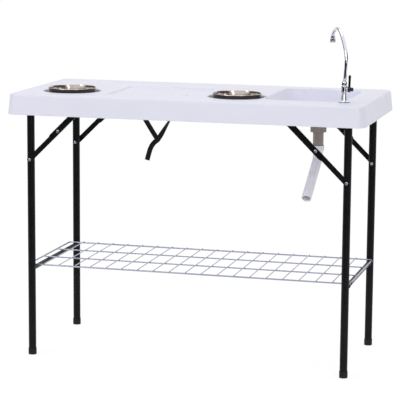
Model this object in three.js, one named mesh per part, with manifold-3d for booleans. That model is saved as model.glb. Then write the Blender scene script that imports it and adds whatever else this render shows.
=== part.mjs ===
// A folding fish cleaning table: a moulded plastic top with a sink, two bowl wells and a cutting
// tray, a gooseneck faucet, a drain, two folding steel leg frames with locking braces, a wire shelf
// that lies across the frames, and a webbing strap that holds the folded legs.
// Millimetres, +Z up. The floor is z = 0 under the middle of the top, and the front is towards -Y.
import * as THREE from "three";
import { mergeVertices } from "three/addons/utils/BufferGeometryUtils.js";
import Module from "manifold-3d";

const wasm = await Module();
wasm.setup();

// Clearances
const SEAT = 0.3; // between pieces that touch
const OVERRUN = 2; // how far a cut runs past a face

// Table top
const TOP_LENGTH = 1270;
const TOP_WIDTH = 600;
const TOP_HEIGHT = 939;
const SKIRT_DEPTH = 72;
const SKIRT_WALL = 12;
const SKIRT_DRAFT = 6.5;
const SLAB_THICKNESS = 15;
const TOP_CORNER = 38;
const TOP_EDGE = 8;
const SKIRT_HEM = 2.5;

// Sink basin, moulded into the top
const SINK_LENGTH = 281;
const SINK_FROM_END = 100;
const SINK_FROM_FRONT = 132;
const SINK_FROM_BACK = 68;
const SINK_CORNER = 55;
const SINK_DEPTH = 84;
const SINK_WALL = 5;
const SINK_LIP = 6;
const SINK_FILLET = 16;
const SINK_SLOPE_LEFT = 40;
const SINK_SLOPE_RIGHT = 9;
const SINK_SLOPE_ENDS = 28;

// Bowl wells, moulded into the top
const WELL_FROM_END = 182;
const WELL_FROM_SINK = 103;
const WELL_FROM_FRONT = 190;
const WELL_RADIUS = 100;
const WELL_FLOOR_RADIUS = 80;
const WELL_DEPTH = 56;
const WELL_WALL = 3.5;
const WELL_LIP = 5;
const WELL_FILLET = 9;

// Cutting tray: a shallow recess between the bowls, with its drain hole, knife slot and peg hole
const TRAY_FROM_LEFT_WELL = 153;
const TRAY_FROM_RIGHT_WELL = 133;
const TRAY_FROM_FRONT = 104;
const TRAY_FROM_BACK = 194;
const TRAY_CORNER = 26;
const TRAY_DEPTH = 6;
const TRAY_SLOPE = 4;
const TRAY_LIP = 2;
const TRAY_FILLET = 2.5;
const TRAY_HOLE_FROM_RIGHT = 56;
const TRAY_HOLE_FROM_FRONT = 115;
const TRAY_HOLE_RADIUS = 8.5;
const KNIFE_SLOT_FROM_LEFT = 149;
const KNIFE_SLOT_FROM_FRONT = 28;
const KNIFE_SLOT_LENGTH = 54;
const KNIFE_SLOT_WIDTH = 15;
const PEG_HOLE_FROM_TRAY = 34;
const PEG_HOLE_FROM_BACK = 58;
const PEG_HOLE_RADIUS = 7;
const PEG_HOLE_DEPTH = 9;

// Bowls: pressed steel, loose in their wells
const BOWL_HEIGHT = 68.5;
const BOWL_BASE_RADIUS = 54;
const BOWL_MOUTH_RADIUS = 83.5;
const BOWL_WALL = 1.3;
const BOWL_BEAD = 2;

// Leg frames
const LEFT_PIVOT_FROM_END = 74;
const LEFT_PIVOT_DROP = 23; // below the slab
const RIGHT_PIVOT_FROM_END = 65;
const RIGHT_PIVOT_DROP = 53;
const LEG_FROM_EDGE = 57.7;
const LEG_RADIUS = 13.7;
const LEG_WALL = 1.2;
const BAR_RADIUS = 8;
const PIVOT_COLLAR_RADIUS = 9;
const PIVOT_SHANK_RADIUS = 5;
const PIVOT_HEAD_RADIUS = 8;
const PIVOT_HEAD_HEIGHT = 2.6;

// Rubber feet
const FOOT_HEIGHT = 23;
const FOOT_RADIUS = 15;
const FOOT_NECK_RADIUS = 14.7;
const FOOT_FLOOR = 3;
const FOOT_FLARE = 8;
const FOOT_EDGE = 1.5;

// Braces: a flat lower link on the leg and a channel above it, hung from the rail
const BRACE_DROP = 196; // from a leg frame's pivot down to the rivet on its leg
const BRACE_REACH = 207; // from a leg frame's pivot inwards to the stud on the rail
const BRACE_RISE = 8; // from a leg frame's pivot up to that stud
const LOWER_LINK_LENGTH = 150.5;
const LINK_THICKNESS = 2.5;
const LINK_HALF_WIDTH = 9.2;
const CHANNEL_SHEET = 2;
const CHANNEL_DEPTH = 7.3;
const CHANNEL_HALF_WIDTH = 10.5;
const CHANNEL_TAIL = 42;
const CHANNEL_SLOT_FROM_PIVOT = 28;
const CHANNEL_SLOT_LENGTH = 13;
const CHANNEL_SLOT_WIDTH = 5;
const CHANNEL_GAP = 0.4;
const RIVET_SHANK_RADIUS = 3;
const LEG_RIVET_HEAD_RADIUS = 5.5;
const LEG_RIVET_HEAD_HEIGHT = 2.2;
const MID_RIVET_COLLAR_RADIUS = 5;
const MID_RIVET_HEAD_RADIUS = 6;
const MID_RIVET_HEAD_HEIGHT = 2.4;
const STUD_RADIUS = 4;
const STUD_COLLAR_RADIUS = 6.5;

// Rails: pressed steel side plates under the top
const RAIL_END_GAP = 35;
const RAIL_SHEET = 2;
const RAIL_GAP = 1.3;
const RAIL_BELOW_LEFT_PIVOT = 12;
const RAIL_BELOW_RIGHT_PIVOT = 12;
const RAIL_STEP_FROM_STUD = 18;
const RAIL_STEP_RUN = 24;
const FLANGE_GAP = 1.5;

// Wire shelf
const SHELF_HEIGHT = 323;
const SHELF_OVERHANG = 11; // past the middle of the right frame's bar
const SHELF_SIDE_GAP = 9.6;
const SHELF_CORNER = 9;
const FRAME_WIRE_RADIUS = 2.8;
const LONG_WIRE_RADIUS = 2.4;
const CROSS_WIRE_RADIUS = 1.9;
const CROSS_WIRES = 19;
const WELD_DEPTH = 0.7;

// Shelf clips: they hook the shelf's end wire to the right frame's bar, outside the front and rear wires
const CLIP_WIDTH = 14;
const CLIP_FROM_SIDE = 20;
const CLIP_WALL = 2;
const CLIP_HORN = 3; // above the middle of the wire
const CLIP_LOWER_DEG = -70;
const CLIP_UPPER_DEG = 45;
const CLIP_EAR_DEG = 35;

// Faucet, on the deck beside the sink
const FAUCET_FROM_END = 95;
const FAUCET_FROM_FRONT = 128;
const FAUCET_FLANGE_RADIUS = 19;
const FAUCET_FLANGE_HEIGHT = 4;
const FAUCET_RISER_RADIUS = 9.3;
const FAUCET_RISER_HEIGHT = 31;
const SHANK_RADIUS = 10;
const SHANK_LENGTH = 38;
const VALVE_RADIUS = 10.6;
const VALVE_HEIGHT = 26;
const VALVE_WAIST = 1.4;
const BOSS_RADIUS = 8;
const BOSS_REACH = 12;
const COLLAR_RADIUS = 9;
const COLLAR_HEIGHT = 13;
const SPOUT_RADIUS = 6.2;
const SPOUT_REACH = 133;
const SPOUT_LEAN = 15;
const SPOUT_RISE = 190; // from the foot of the spout to the top of its bend
const SPOUT_DROP = 27; // from the top of the bend down to the aerator
const AERATOR_RADIUS = 10.2;
const AERATOR_NECK_RADIUS = 8.4;
const AERATOR_HEIGHT = 24;
const AERATOR_BORE_RADIUS = 7.2;
const AERATOR_BORE_DEPTH = 5;
const HUB_RADIUS = 8.6;
const HUB_LENGTH = 9.5;
const LEVER_LENGTH = 48;
const LEVER_WIDTH = 6.6;
const LEVER_TIP_WIDTH = 7.6;
const LEVER_THICKNESS = 6;
const LEVER_LEAN = 2.6;
const CAP_RADIUS = 5.6;
const CAP_LENGTH = 9;
const SPOUT_TURN_DEG = 119.4; // the way the spout points, anticlockwise from +X

// Faucet fixings under the deck
const NUT_RADIUS = 17;
const NUT_HEIGHT = 9;
const HOSE_END_RADIUS = 8.8;
const HOSE_END_LENGTH = 22;
const HOSE_NIPPLE_RADIUS = 6;

// Drain
const DRAIN_FROM_MIDDLE = 17.5; // of the basin, towards the end of the top
const STRAINER_RADIUS = 42;
const STRAINER_SHEET = 2;
const STRAINER_RECESS = 2.3;
const STRAINER_CUP_RADIUS = 24.5;
const STRAINER_CUP_DEPTH = 7;
const STRAINER_WALL = 2;
const STRAINER_TUBE_LENGTH = 34;
const STRAINER_HOLE_RADIUS = 3.4;
const STRAINER_HOLES = 6;
const GASKET_RADIUS = 33;
const GASKET_HEIGHT = 3;
const DRAIN_NUT_RADIUS = 26.6;
const DRAIN_NUT_RIB = 1.9;
const DRAIN_NUT_RIBS = 14;
const DRAIN_NUT_HEIGHT = 38.4;
const DRAIN_NUT_LIP = 4.5;
const TAILPIPE_RADIUS = 18.7;
const TAILPIPE_WALL = 2.4;
const TAILPIPE_LENGTH = 72;
const TAILPIPE_FLANGE = 2.7;
const SOCKET_WALL = 2.6;
const SOCKET_HEIGHT = 17;
const OUTLET_RADIUS = 17.2;
const OUTLET_WALL = 2.6;
const OUTLET_LEAD = 10;
const OUTLET_BEND_RADIUS = 40;
const OUTLET_TILT_DEG = 50;
const OUTLET_RUN = 172;
const OUTLET_TURN_DEG = -93.5; // the way the outlet points, anticlockwise from +X

// Webbing strap under the middle of the top
const STRAP_WIDTH = 18;
const STRAP_THICKNESS = 1.6;
const STRAP_LEFT_X = -268;
const STRAP_RIGHT_X = -76;
const STRAP_MEET_X = -168;
const STRAP_MEET_DROP = 164;
const STRAP_TAIL_REACH = 39;
const STRAP_TAIL_DROP = 75;
const STAPLE_LENGTH = 30;
const STAPLE_DEPTH = 6;
const STAPLE_SHEET = 2;
const STAPLE_DROP = 10;

// How finely round forms are divided
const FINE = 24;
const ROUND = 14;
const SMALL = 10;
const WIRE = 6;
const PLATE_STEPS = 5;
const CORNER_STEPS = 5;

// Levels that follow from the sizes above
const SKIRT_BOTTOM = TOP_HEIGHT - SKIRT_DEPTH;
const UNDERSIDE = TOP_HEIGHT - SLAB_THICKNESS;
const SINK_FLOOR = TOP_HEIGHT - SINK_DEPTH;
const WELL_FLOOR = TOP_HEIGHT - WELL_DEPTH;

// Places in the top, worked out from its ends and edges
const END_X = TOP_LENGTH / 2;
const EDGE_Y = TOP_WIDTH / 2;
const SINK_RIGHT = END_X - SINK_FROM_END;
const SINK_LEFT = SINK_RIGHT - SINK_LENGTH;
const SINK_FRONT = SINK_FROM_FRONT - EDGE_Y;
const SINK_BACK = EDGE_Y - SINK_FROM_BACK;
const DRAIN_X = (SINK_LEFT + SINK_RIGHT) / 2 + DRAIN_FROM_MIDDLE;
const DRAIN_Y = (SINK_FRONT + SINK_BACK) / 2;
const FAUCET_X = END_X - FAUCET_FROM_END;
const FAUCET_Y = FAUCET_FROM_FRONT - EDGE_Y;
const WELL_LEFT_X = WELL_FROM_END - END_X;
const WELL_RIGHT_X = SINK_LEFT - WELL_FROM_SINK;
const WELL_Y = WELL_FROM_FRONT - EDGE_Y;
const TRAY_LEFT = WELL_LEFT_X + TRAY_FROM_LEFT_WELL;
const TRAY_RIGHT = WELL_RIGHT_X - TRAY_FROM_RIGHT_WELL;
const TRAY_FRONT = TRAY_FROM_FRONT - EDGE_Y;
const TRAY_BACK = EDGE_Y - TRAY_FROM_BACK;
const TRAY_HOLE_X = TRAY_RIGHT - TRAY_HOLE_FROM_RIGHT;
const TRAY_HOLE_Y = TRAY_FRONT + TRAY_HOLE_FROM_FRONT;
const KNIFE_SLOT_X = TRAY_LEFT + KNIFE_SLOT_FROM_LEFT;
const KNIFE_SLOT_Y = TRAY_FRONT + KNIFE_SLOT_FROM_FRONT;
const PEG_HOLE_X = TRAY_LEFT - PEG_HOLE_FROM_TRAY;
const PEG_HOLE_Y = TRAY_BACK - PEG_HOLE_FROM_BACK;

// Places of the leg frames, rails and shelf
const LEFT_PIVOT_X = LEFT_PIVOT_FROM_END - END_X;
const LEFT_PIVOT_HEIGHT = UNDERSIDE - LEFT_PIVOT_DROP;
const RIGHT_PIVOT_X = END_X - RIGHT_PIVOT_FROM_END;
const RIGHT_PIVOT_HEIGHT = UNDERSIDE - RIGHT_PIVOT_DROP;
const LEG_SPREAD = EDGE_Y - LEG_FROM_EDGE;
const RAIL_HALF_LENGTH = END_X - RAIL_END_GAP;
const RAIL_STEP_X = RIGHT_PIVOT_X - BRACE_REACH - RAIL_STEP_FROM_STUD;
const SHELF_HALF_LENGTH = RIGHT_PIVOT_X + SHELF_OVERHANG;
const SHELF_HALF_WIDTH = LEG_SPREAD - LEG_RADIUS - SHELF_SIDE_GAP;
const LINK_PLANE = LEG_SPREAD + LEG_RADIUS + SEAT;
const RIVET_PLANE = LINK_PLANE + LINK_THICKNESS + SEAT;
const CHANNEL_PLANE = RIVET_PLANE + LEG_RIVET_HEAD_HEIGHT + CHANNEL_GAP;
const STUD_PLANE = CHANNEL_PLANE + CHANNEL_SHEET + SEAT;
const RAIL_PLANE = CHANNEL_PLANE + CHANNEL_DEPTH + RAIL_GAP;
const RAIL_TOP = UNDERSIDE - SEAT;
const BAR_HEIGHT = SHELF_HEIGHT - FRAME_WIRE_RADIUS - SEAT - BAR_RADIUS;
const SIDES = [
  { name: "left", x: LEFT_PIVOT_X, height: LEFT_PIVOT_HEIGHT, inward: 1 },
  { name: "right", x: RIGHT_PIVOT_X, height: RIGHT_PIVOT_HEIGHT, inward: -1 },
];
const ROWS = [
  { name: "front", sign: -1 },
  { name: "rear", sign: 1 },
];

const X = new THREE.Vector3(1, 0, 0);
const Y = new THREE.Vector3(0, 1, 0);
const Z = new THREE.Vector3(0, 0, 1);
const HALF_TURN = Math.PI;
const QUARTER_TURN = Math.PI / 2;
const radians = THREE.MathUtils.degToRad;

// Materials
function finish(color, roughness, metalness) {
  return new THREE.MeshStandardMaterial({ color, roughness, metalness });
}
const whitePlastic = finish(0xdedff0, 0.45, 0);
const greyPlastic = finish(0xcfc8c4, 0.5, 0);
const blackSteel = finish(0x16161a, 0.4, 0.3);
const zincSteel = finish(0xb4bccb, 0.35, 0.9);
const polishedSteel = finish(0xcfcac6, 0.12, 1);
const chrome = finish(0xe2e5ee, 0.05, 1);
const blackPlastic = finish(0x141416, 0.5, 0);
const blackRubber = finish(0x101012, 0.8, 0);
const blackWebbing = finish(0x0c0c0d, 0.9, 0);

// Solids: closed geometries that can be joined and cut
function solid(geometry, matrix) {
  const bare = geometry.index ? geometry.toNonIndexed() : geometry.clone();
  bare.deleteAttribute("normal");
  bare.deleteAttribute("uv");
  if (matrix) bare.applyMatrix4(matrix);
  const merged = mergeVertices(bare, 1e-4);
  return new wasm.Manifold(
    new wasm.Mesh({
      numProp: 3,
      vertProperties: merged.attributes.position.array,
      triVerts: new Uint32Array(merged.index.array),
    }),
  );
}

function geometryOf(body) {
  const made = body.getMesh();
  const geometry = new THREE.BufferGeometry();
  geometry.setAttribute("position", new THREE.BufferAttribute(made.vertProperties, 3));
  geometry.setIndex(new THREE.BufferAttribute(made.triVerts, 1));
  geometry.computeVertexNormals();
  return geometry;
}

function joined(bodies) {
  return bodies.reduce((whole, body) => whole.add(body));
}

function moved(x, y, z) {
  return new THREE.Matrix4().makeTranslation(x, y, z);
}

// A matrix that turns +Z to the given way and puts the origin at a point
function aimed(way, x, y, z) {
  const turn = new THREE.Quaternion().setFromUnitVectors(Z, way.clone().normalize());
  return new THREE.Matrix4().makeRotationFromQuaternion(turn).setPosition(x, y, z);
}

function mesh(name, shape, material) {
  const geometry = shape.isBufferGeometry ? shape : geometryOf(shape);
  const made = new THREE.Mesh(geometry, material);
  made.name = name;
  return made;
}

// A turned form about +Z. The profile is a closed list of [radius, height], anticlockwise with
// radius to the right and height upwards.
function turned(profile, segments) {
  const points = profile.map(([radius, height]) => new THREE.Vector2(radius, height));
  if (profile[0][0] > 0) points.push(points[0].clone());
  return new THREE.LatheGeometry(points, segments).rotateX(QUARTER_TURN);
}

function rod(radius, from, to, segments) {
  return turned([[0, from], [radius, from], [radius, to], [0, to]], segments);
}

function pipe(outer, inner, from, to, segments) {
  return turned([[inner, from], [outer, from], [outer, to], [inner, to]], segments);
}

function plate(shape, thickness) {
  return new THREE.ExtrudeGeometry(shape, {
    depth: thickness,
    bevelEnabled: false,
    curveSegments: PLATE_STEPS,
  });
}

function box(fromX, toX, fromY, toY, fromZ, toZ) {
  const made = new THREE.BoxGeometry(toX - fromX, toY - fromY, toZ - fromZ);
  return made.translate((fromX + toX) / 2, (fromY + toY) / 2, (fromZ + toZ) / 2);
}

// A rounded rectangle at a level, anticlockwise seen from above, grown outwards by an amount
function ring(area, level, grow, steps = CORNER_STEPS) {
  const radius = area.corner + grow;
  const corners = [
    [area.right + grow - radius, area.front - grow + radius, -QUARTER_TURN],
    [area.right + grow - radius, area.back + grow - radius, 0],
    [area.left - grow + radius, area.back + grow - radius, QUARTER_TURN],
    [area.left - grow + radius, area.front - grow + radius, HALF_TURN],
  ];
  const points = [];
  for (const [x, y, start] of corners) {
    for (let step = 0; step <= steps; step += 1) {
      const angle = start + (QUARTER_TURN * step) / steps;
      const across = x + radius * Math.cos(angle);
      points.push(new THREE.Vector3(across, y + radius * Math.sin(angle), level));
    }
  }
  return points;
}

// A closed skin over rings that all have the same number of points, lowest ring first
function loft(rings) {
  const count = rings[0].length;
  const positions = rings.flat().flatMap((point) => point.toArray());
  const index = [];
  for (let row = 0; row + 1 < rings.length; row += 1) {
    for (let i = 0; i < count; i += 1) {
      const j = (i + 1) % count;
      const low = row * count;
      const high = low + count;
      index.push(low + i, low + j, high + j, low + i, high + j, high + i);
    }
  }
  for (const [row, upwards] of [[0, false], [rings.length - 1, true]]) {
    const middle = new THREE.Vector3();
    rings[row].forEach((point) => middle.addScaledVector(point, 1 / count));
    const centre = positions.length / 3;
    positions.push(...middle.toArray());
    for (let i = 0; i < count; i += 1) {
      const a = row * count + i;
      const b = row * count + ((i + 1) % count);
      index.push(centre, upwards ? a : b, upwards ? b : a);
    }
  }
  const geometry = new THREE.BufferGeometry();
  geometry.setAttribute("position", new THREE.Float32BufferAttribute(positions, 3));
  geometry.setIndex(index);
  return geometry;
}

// Shares of a quarter round, from its start to its end
function quarter(steps) {
  return Array.from({ length: steps + 1 }, (_, step) => {
    const angle = (QUARTER_TURN * step) / steps;
    return { sine: Math.sin(angle), cosine: Math.cos(angle) };
  });
}

function between(from, to, share) {
  return from + (to - from) * share;
}

// The inside of a moulded recess: floor, fillet, sloping walls and a rounded lip
function recess(rim, slope, depth, lip, fillet, grow) {
  const floor = TOP_HEIGHT - depth - grow;
  const wallHeight = TOP_HEIGHT - lip - floor;
  const area = (share) => ({
    left: rim.left + slope.left * share,
    right: rim.right - slope.right * share,
    front: rim.front + slope.ends * share,
    back: rim.back - slope.ends * share,
    corner: rim.corner,
  });
  const rings = [];
  for (const { sine, cosine } of quarter(4)) {
    const above = fillet * (1 - cosine);
    rings.push(ring(area(1 - above / wallHeight), floor + above, grow - fillet * (1 - sine)));
  }
  for (const { sine, cosine } of quarter(3)) {
    rings.push(ring(area(0), TOP_HEIGHT - lip * (1 - sine), grow + lip * (1 - cosine)));
  }
  rings.push(ring(area(0), TOP_HEIGHT + OVERRUN, grow + lip));
  return loft(rings);
}

// Table top
const topArea = {
  left: -END_X,
  right: END_X,
  front: -EDGE_Y,
  back: EDGE_Y,
  corner: TOP_CORNER,
};

// How far the skirt's face has drawn in at a level
function drawnIn(level) {
  const hemTop = SKIRT_BOTTOM + SKIRT_HEM;
  return (SKIRT_DRAFT * (level - hemTop)) / (TOP_HEIGHT - TOP_EDGE - hemTop);
}

function slabWithSkirt() {
  const rings = [
    ring(topArea, SKIRT_BOTTOM, -SKIRT_HEM),
    ring(topArea, SKIRT_BOTTOM + SKIRT_HEM, 0),
  ];
  for (const { sine, cosine } of quarter(4)) {
    const level = TOP_HEIGHT - TOP_EDGE * (1 - sine);
    rings.push(ring(topArea, level, -SKIRT_DRAFT - TOP_EDGE * (1 - cosine)));
  }
  const below = SKIRT_BOTTOM - OVERRUN;
  const hollow = loft([
    ring(topArea, below, -SKIRT_WALL - drawnIn(below)),
    ring(topArea, UNDERSIDE, -SKIRT_WALL - drawnIn(UNDERSIDE)),
  ]);
  return solid(loft(rings)).subtract(solid(hollow));
}

const sinkRim = {
  left: SINK_LEFT,
  right: SINK_RIGHT,
  front: SINK_FRONT,
  back: SINK_BACK,
  corner: SINK_CORNER,
};
const sinkSlope = { left: SINK_SLOPE_LEFT, right: SINK_SLOPE_RIGHT, ends: SINK_SLOPE_ENDS };

// The part of a grown recess that hangs below the slab
function hung(shell) {
  const half = TOP_LENGTH / 2;
  const level = TOP_HEIGHT - SLAB_THICKNESS / 2;
  const above = box(-half, half, -half, half, level, TOP_HEIGHT + TOP_LENGTH / 2);
  return shell.subtract(solid(above));
}

function wellProfile(grow) {
  const floor = WELL_FLOOR - grow;
  const radius = (level) =>
    between(WELL_FLOOR_RADIUS, WELL_RADIUS, (level - floor) / (TOP_HEIGHT - WELL_LIP - floor));
  const points = [[0, floor]];
  for (const { sine, cosine } of quarter(3)) {
    const level = floor + WELL_FILLET * (1 - cosine);
    points.push([radius(level) + grow - WELL_FILLET * (1 - sine), level]);
  }
  for (const { sine, cosine } of quarter(3)) {
    const level = TOP_HEIGHT - WELL_LIP * (1 - sine);
    points.push([WELL_RADIUS + grow + WELL_LIP * (1 - cosine), level]);
  }
  points.push([WELL_RADIUS + grow + WELL_LIP, TOP_HEIGHT + OVERRUN], [0, TOP_HEIGHT + OVERRUN]);
  return points;
}

function well(x, grow) {
  return solid(turned(wellProfile(grow), FINE), moved(x, WELL_Y, 0));
}

function cuttingTray() {
  const rim = {
    left: TRAY_LEFT,
    right: TRAY_RIGHT,
    front: TRAY_FRONT,
    back: TRAY_BACK,
    corner: TRAY_CORNER,
  };
  const slope = { left: TRAY_SLOPE, right: TRAY_SLOPE, ends: TRAY_SLOPE };
  return solid(recess(rim, slope, TRAY_DEPTH, TRAY_LIP, TRAY_FILLET, 0));
}

function knifeSlot() {
  const half = (KNIFE_SLOT_LENGTH - KNIFE_SLOT_WIDTH) / 2;
  const shape = new THREE.Shape();
  shape.absarc(half, 0, KNIFE_SLOT_WIDTH / 2, -QUARTER_TURN, QUARTER_TURN);
  shape.absarc(-half, 0, KNIFE_SLOT_WIDTH / 2, QUARTER_TURN, HALF_TURN + QUARTER_TURN);
  const depth = SLAB_THICKNESS + OVERRUN;
  return solid(plate(shape, depth), moved(KNIFE_SLOT_X, KNIFE_SLOT_Y, UNDERSIDE - OVERRUN));
}

function tableTop() {
  const basinHole = recess(
    sinkRim,
    sinkSlope,
    SINK_DEPTH,
    SINK_LIP,
    SINK_FILLET,
    SINK_WALL + SEAT,
  );
  let body = joined([
    slabWithSkirt(),
    hung(well(WELL_LEFT_X, WELL_WALL)),
    hung(well(WELL_RIGHT_X, WELL_WALL)),
  ]);
  const cuts = [
    solid(basinHole),
    well(WELL_LEFT_X, 0),
    well(WELL_RIGHT_X, 0),
    cuttingTray(),
    knifeSlot(),
    solid(
      rod(TRAY_HOLE_RADIUS, UNDERSIDE - OVERRUN, TOP_HEIGHT, SMALL),
      moved(TRAY_HOLE_X, TRAY_HOLE_Y, 0),
    ),
    solid(
      rod(PEG_HOLE_RADIUS, TOP_HEIGHT - PEG_HOLE_DEPTH, TOP_HEIGHT + OVERRUN, SMALL),
      moved(PEG_HOLE_X, PEG_HOLE_Y, 0),
    ),
    solid(
      rod(SHANK_RADIUS + SEAT, UNDERSIDE - OVERRUN, TOP_HEIGHT + OVERRUN, ROUND),
      moved(FAUCET_X, FAUCET_Y, 0),
    ),
  ];
  for (const cut of cuts) body = body.subtract(cut);
  return mesh("table_top", body, whitePlastic);
}

// The basin's shell: its lip is level with the deck, and its floor has the drain's seat
function sinkShell() {
  const form = (grow) =>
    solid(recess(sinkRim, sinkSlope, SINK_DEPTH, SINK_LIP, SINK_FILLET, grow));
  const half = TOP_LENGTH / 2;
  const above = box(-half, half, -half, half, TOP_HEIGHT, TOP_HEIGHT + half);
  const seatLevel = SINK_FLOOR - STRAINER_RECESS;
  const seat = rod(STRAINER_RADIUS + SEAT, seatLevel, SINK_FLOOR + OVERRUN, FINE);
  const bore = rod(STRAINER_CUP_RADIUS + SEAT, SINK_FLOOR - SINK_WALL - OVERRUN, SINK_FLOOR, FINE);
  const body = form(SINK_WALL)
    .subtract(solid(above))
    .subtract(form(0))
    .subtract(solid(seat, moved(DRAIN_X, DRAIN_Y, 0)))
    .subtract(solid(bore, moved(DRAIN_X, DRAIN_Y, 0)));
  return mesh("sink_shell", body, whitePlastic);
}

// Bowls
function bowlProfile() {
  const wallTop = BOWL_HEIGHT - 2 * BOWL_BEAD;
  const wallRadius = BOWL_MOUTH_RADIUS - BOWL_BASE_RADIUS;
  const shares = [
    [0, 0],
    [0.3, 0.035],
    [0.62, 0.2],
    [0.86, 0.5],
    [1, 1],
  ];
  const curve = new THREE.SplineCurve(
    shares.map(
      ([out, up]) => new THREE.Vector2(BOWL_BASE_RADIUS + wallRadius * out, wallTop * up),
    ),
  );
  const outside = curve.getPoints(5);
  const inside = outside.map((point, i) => {
    const along = curve.getTangent(i / (outside.length - 1));
    return new THREE.Vector2(point.x - along.y * BOWL_WALL, point.y + along.x * BOWL_WALL);
  });
  const bead = [];
  const turns = 4;
  for (let step = 0; step <= turns; step += 1) {
    const angle = -QUARTER_TURN + ((HALF_TURN + QUARTER_TURN) * step) / turns;
    bead.push([
      BOWL_MOUTH_RADIUS + BOWL_BEAD * (0.7 + Math.cos(angle)),
      BOWL_HEIGHT - BOWL_BEAD * (1 - Math.sin(angle)),
    ]);
  }
  const pairs = (points) => points.map((point) => [point.x, point.y]);
  return [
    [0, 0],
    ...pairs(outside),
    ...bead,
    ...pairs(inside).reverse(),
    [0, BOWL_WALL],
  ];
}

function bowl(name, x) {
  const made = mesh(name, turned(bowlProfile(), FINE), polishedSteel);
  made.position.set(x, WELL_Y, WELL_FLOOR + SEAT);
  return made;
}

// Leg frames. A frame is built about its pivot, with its inward side towards +X.
function footProfile() {
  const bore = LEG_RADIUS + SEAT;
  return [
    [0, 0],
    [FOOT_RADIUS - FOOT_EDGE, 0],
    [FOOT_RADIUS, FOOT_EDGE],
    [FOOT_RADIUS, FOOT_FLARE],
    [FOOT_NECK_RADIUS, FOOT_HEIGHT],
    [bore, FOOT_HEIGHT],
    [bore, FOOT_FLOOR],
    [0, FOOT_FLOOR],
  ];
}

// A cross tube whose ends are coped to fit round the two legs
function copedTube(radius) {
  const tube = solid(
    pipe(radius, radius - LEG_WALL, -LEG_SPREAD, LEG_SPREAD, ROUND),
    aimed(Y, 0, 0, 0),
  );
  const reach = radius + OVERRUN;
  const legs = ROWS.map((row) =>
    solid(rod(LEG_RADIUS + SEAT, -reach, reach, ROUND), moved(0, row.sign * LEG_SPREAD, 0)),
  );
  return tube.subtract(legs[0]).subtract(legs[1]);
}

function pivotPinProfile() {
  const collarEnd = RAIL_PLANE - SEAT;
  const headStart = RAIL_PLANE + RAIL_SHEET + SEAT;
  return [
    [0, LINK_PLANE],
    [PIVOT_COLLAR_RADIUS, LINK_PLANE],
    [PIVOT_COLLAR_RADIUS, collarEnd],
    [PIVOT_SHANK_RADIUS, collarEnd],
    [PIVOT_SHANK_RADIUS, headStart],
    [PIVOT_HEAD_RADIUS, headStart],
    [PIVOT_HEAD_RADIUS * 0.8, headStart + PIVOT_HEAD_HEIGHT],
    [0, headStart + PIVOT_HEAD_HEIGHT],
  ];
}

function domedHead(radius, height, start) {
  return [
    [radius, start],
    [radius * 0.85, start + height * 0.65],
    [0, start + height],
  ];
}

function legRivetProfile() {
  return [
    [0, LINK_PLANE],
    [RIVET_SHANK_RADIUS, LINK_PLANE],
    [RIVET_SHANK_RADIUS, RIVET_PLANE],
    ...domedHead(LEG_RIVET_HEAD_RADIUS, LEG_RIVET_HEAD_HEIGHT, RIVET_PLANE),
  ];
}

function midRivetProfile() {
  return [
    [0, RIVET_PLANE],
    [MID_RIVET_COLLAR_RADIUS, RIVET_PLANE],
    [MID_RIVET_COLLAR_RADIUS, CHANNEL_PLANE - SEAT],
    [RIVET_SHANK_RADIUS, CHANNEL_PLANE - SEAT],
    [RIVET_SHANK_RADIUS, STUD_PLANE],
    ...domedHead(MID_RIVET_HEAD_RADIUS, MID_RIVET_HEAD_HEIGHT, STUD_PLANE),
  ];
}

// A round-ended bar along +X from one hole to another, with its thickness towards +Z
function barShape(length, halfWidth, overhang) {
  const shape = new THREE.Shape();
  shape.absarc(length + overhang - halfWidth, 0, halfWidth, -QUARTER_TURN, QUARTER_TURN);
  shape.absarc(0, 0, halfWidth, QUARTER_TURN, HALF_TURN + QUARTER_TURN);
  return shape;
}

function hole(x, radius) {
  return solid(rod(radius, -OVERRUN, CHANNEL_DEPTH + OVERRUN, SMALL), moved(x, 0, 0));
}

function lowerLink() {
  const shape = barShape(LOWER_LINK_LENGTH, LINK_HALF_WIDTH, LINK_HALF_WIDTH);
  const bar = solid(plate(shape, LINK_THICKNESS));
  const bore = RIVET_SHANK_RADIUS + SEAT;
  return bar.subtract(hole(0, bore)).subtract(hole(LOWER_LINK_LENGTH, bore));
}

function upperLink(length) {
  const end = length + CHANNEL_TAIL;
  const web = plate(barShape(length, CHANNEL_HALF_WIDTH, CHANNEL_TAIL), CHANNEL_SHEET);
  const inner = CHANNEL_HALF_WIDTH - CHANNEL_SHEET;
  const flangeEnd = end - CHANNEL_HALF_WIDTH;
  const flanges = [1, -1].map((side) => {
    const edges = [side * inner, side * CHANNEL_HALF_WIDTH].sort((a, b) => a - b);
    return solid(box(0, flangeEnd, edges[0], edges[1], 0, CHANNEL_DEPTH));
  });
  const half = CHANNEL_SLOT_WIDTH / 2;
  const slotStart = length + CHANNEL_SLOT_FROM_PIVOT - CHANNEL_SLOT_LENGTH / 2;
  const slotEnd = slotStart + CHANNEL_SLOT_LENGTH;
  const slot = solid(box(slotStart, slotEnd, -half, half, -OVERRUN, CHANNEL_SHEET + OVERRUN));
  return joined([solid(web), ...flanges])
    .subtract(hole(0, STUD_RADIUS + SEAT))
    .subtract(hole(length, RIVET_SHANK_RADIUS + SEAT))
    .subtract(slot);
}

// The straight line from the rivet on the leg to the stud on the rail
function braceLine() {
  const leg = new THREE.Vector2(0, -BRACE_DROP);
  const stud = new THREE.Vector2(BRACE_REACH, BRACE_RISE);
  const along = stud.clone().sub(leg);
  const length = along.length();
  along.normalize();
  return { leg, stud, along, upperLength: length - LOWER_LINK_LENGTH };
}

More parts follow.
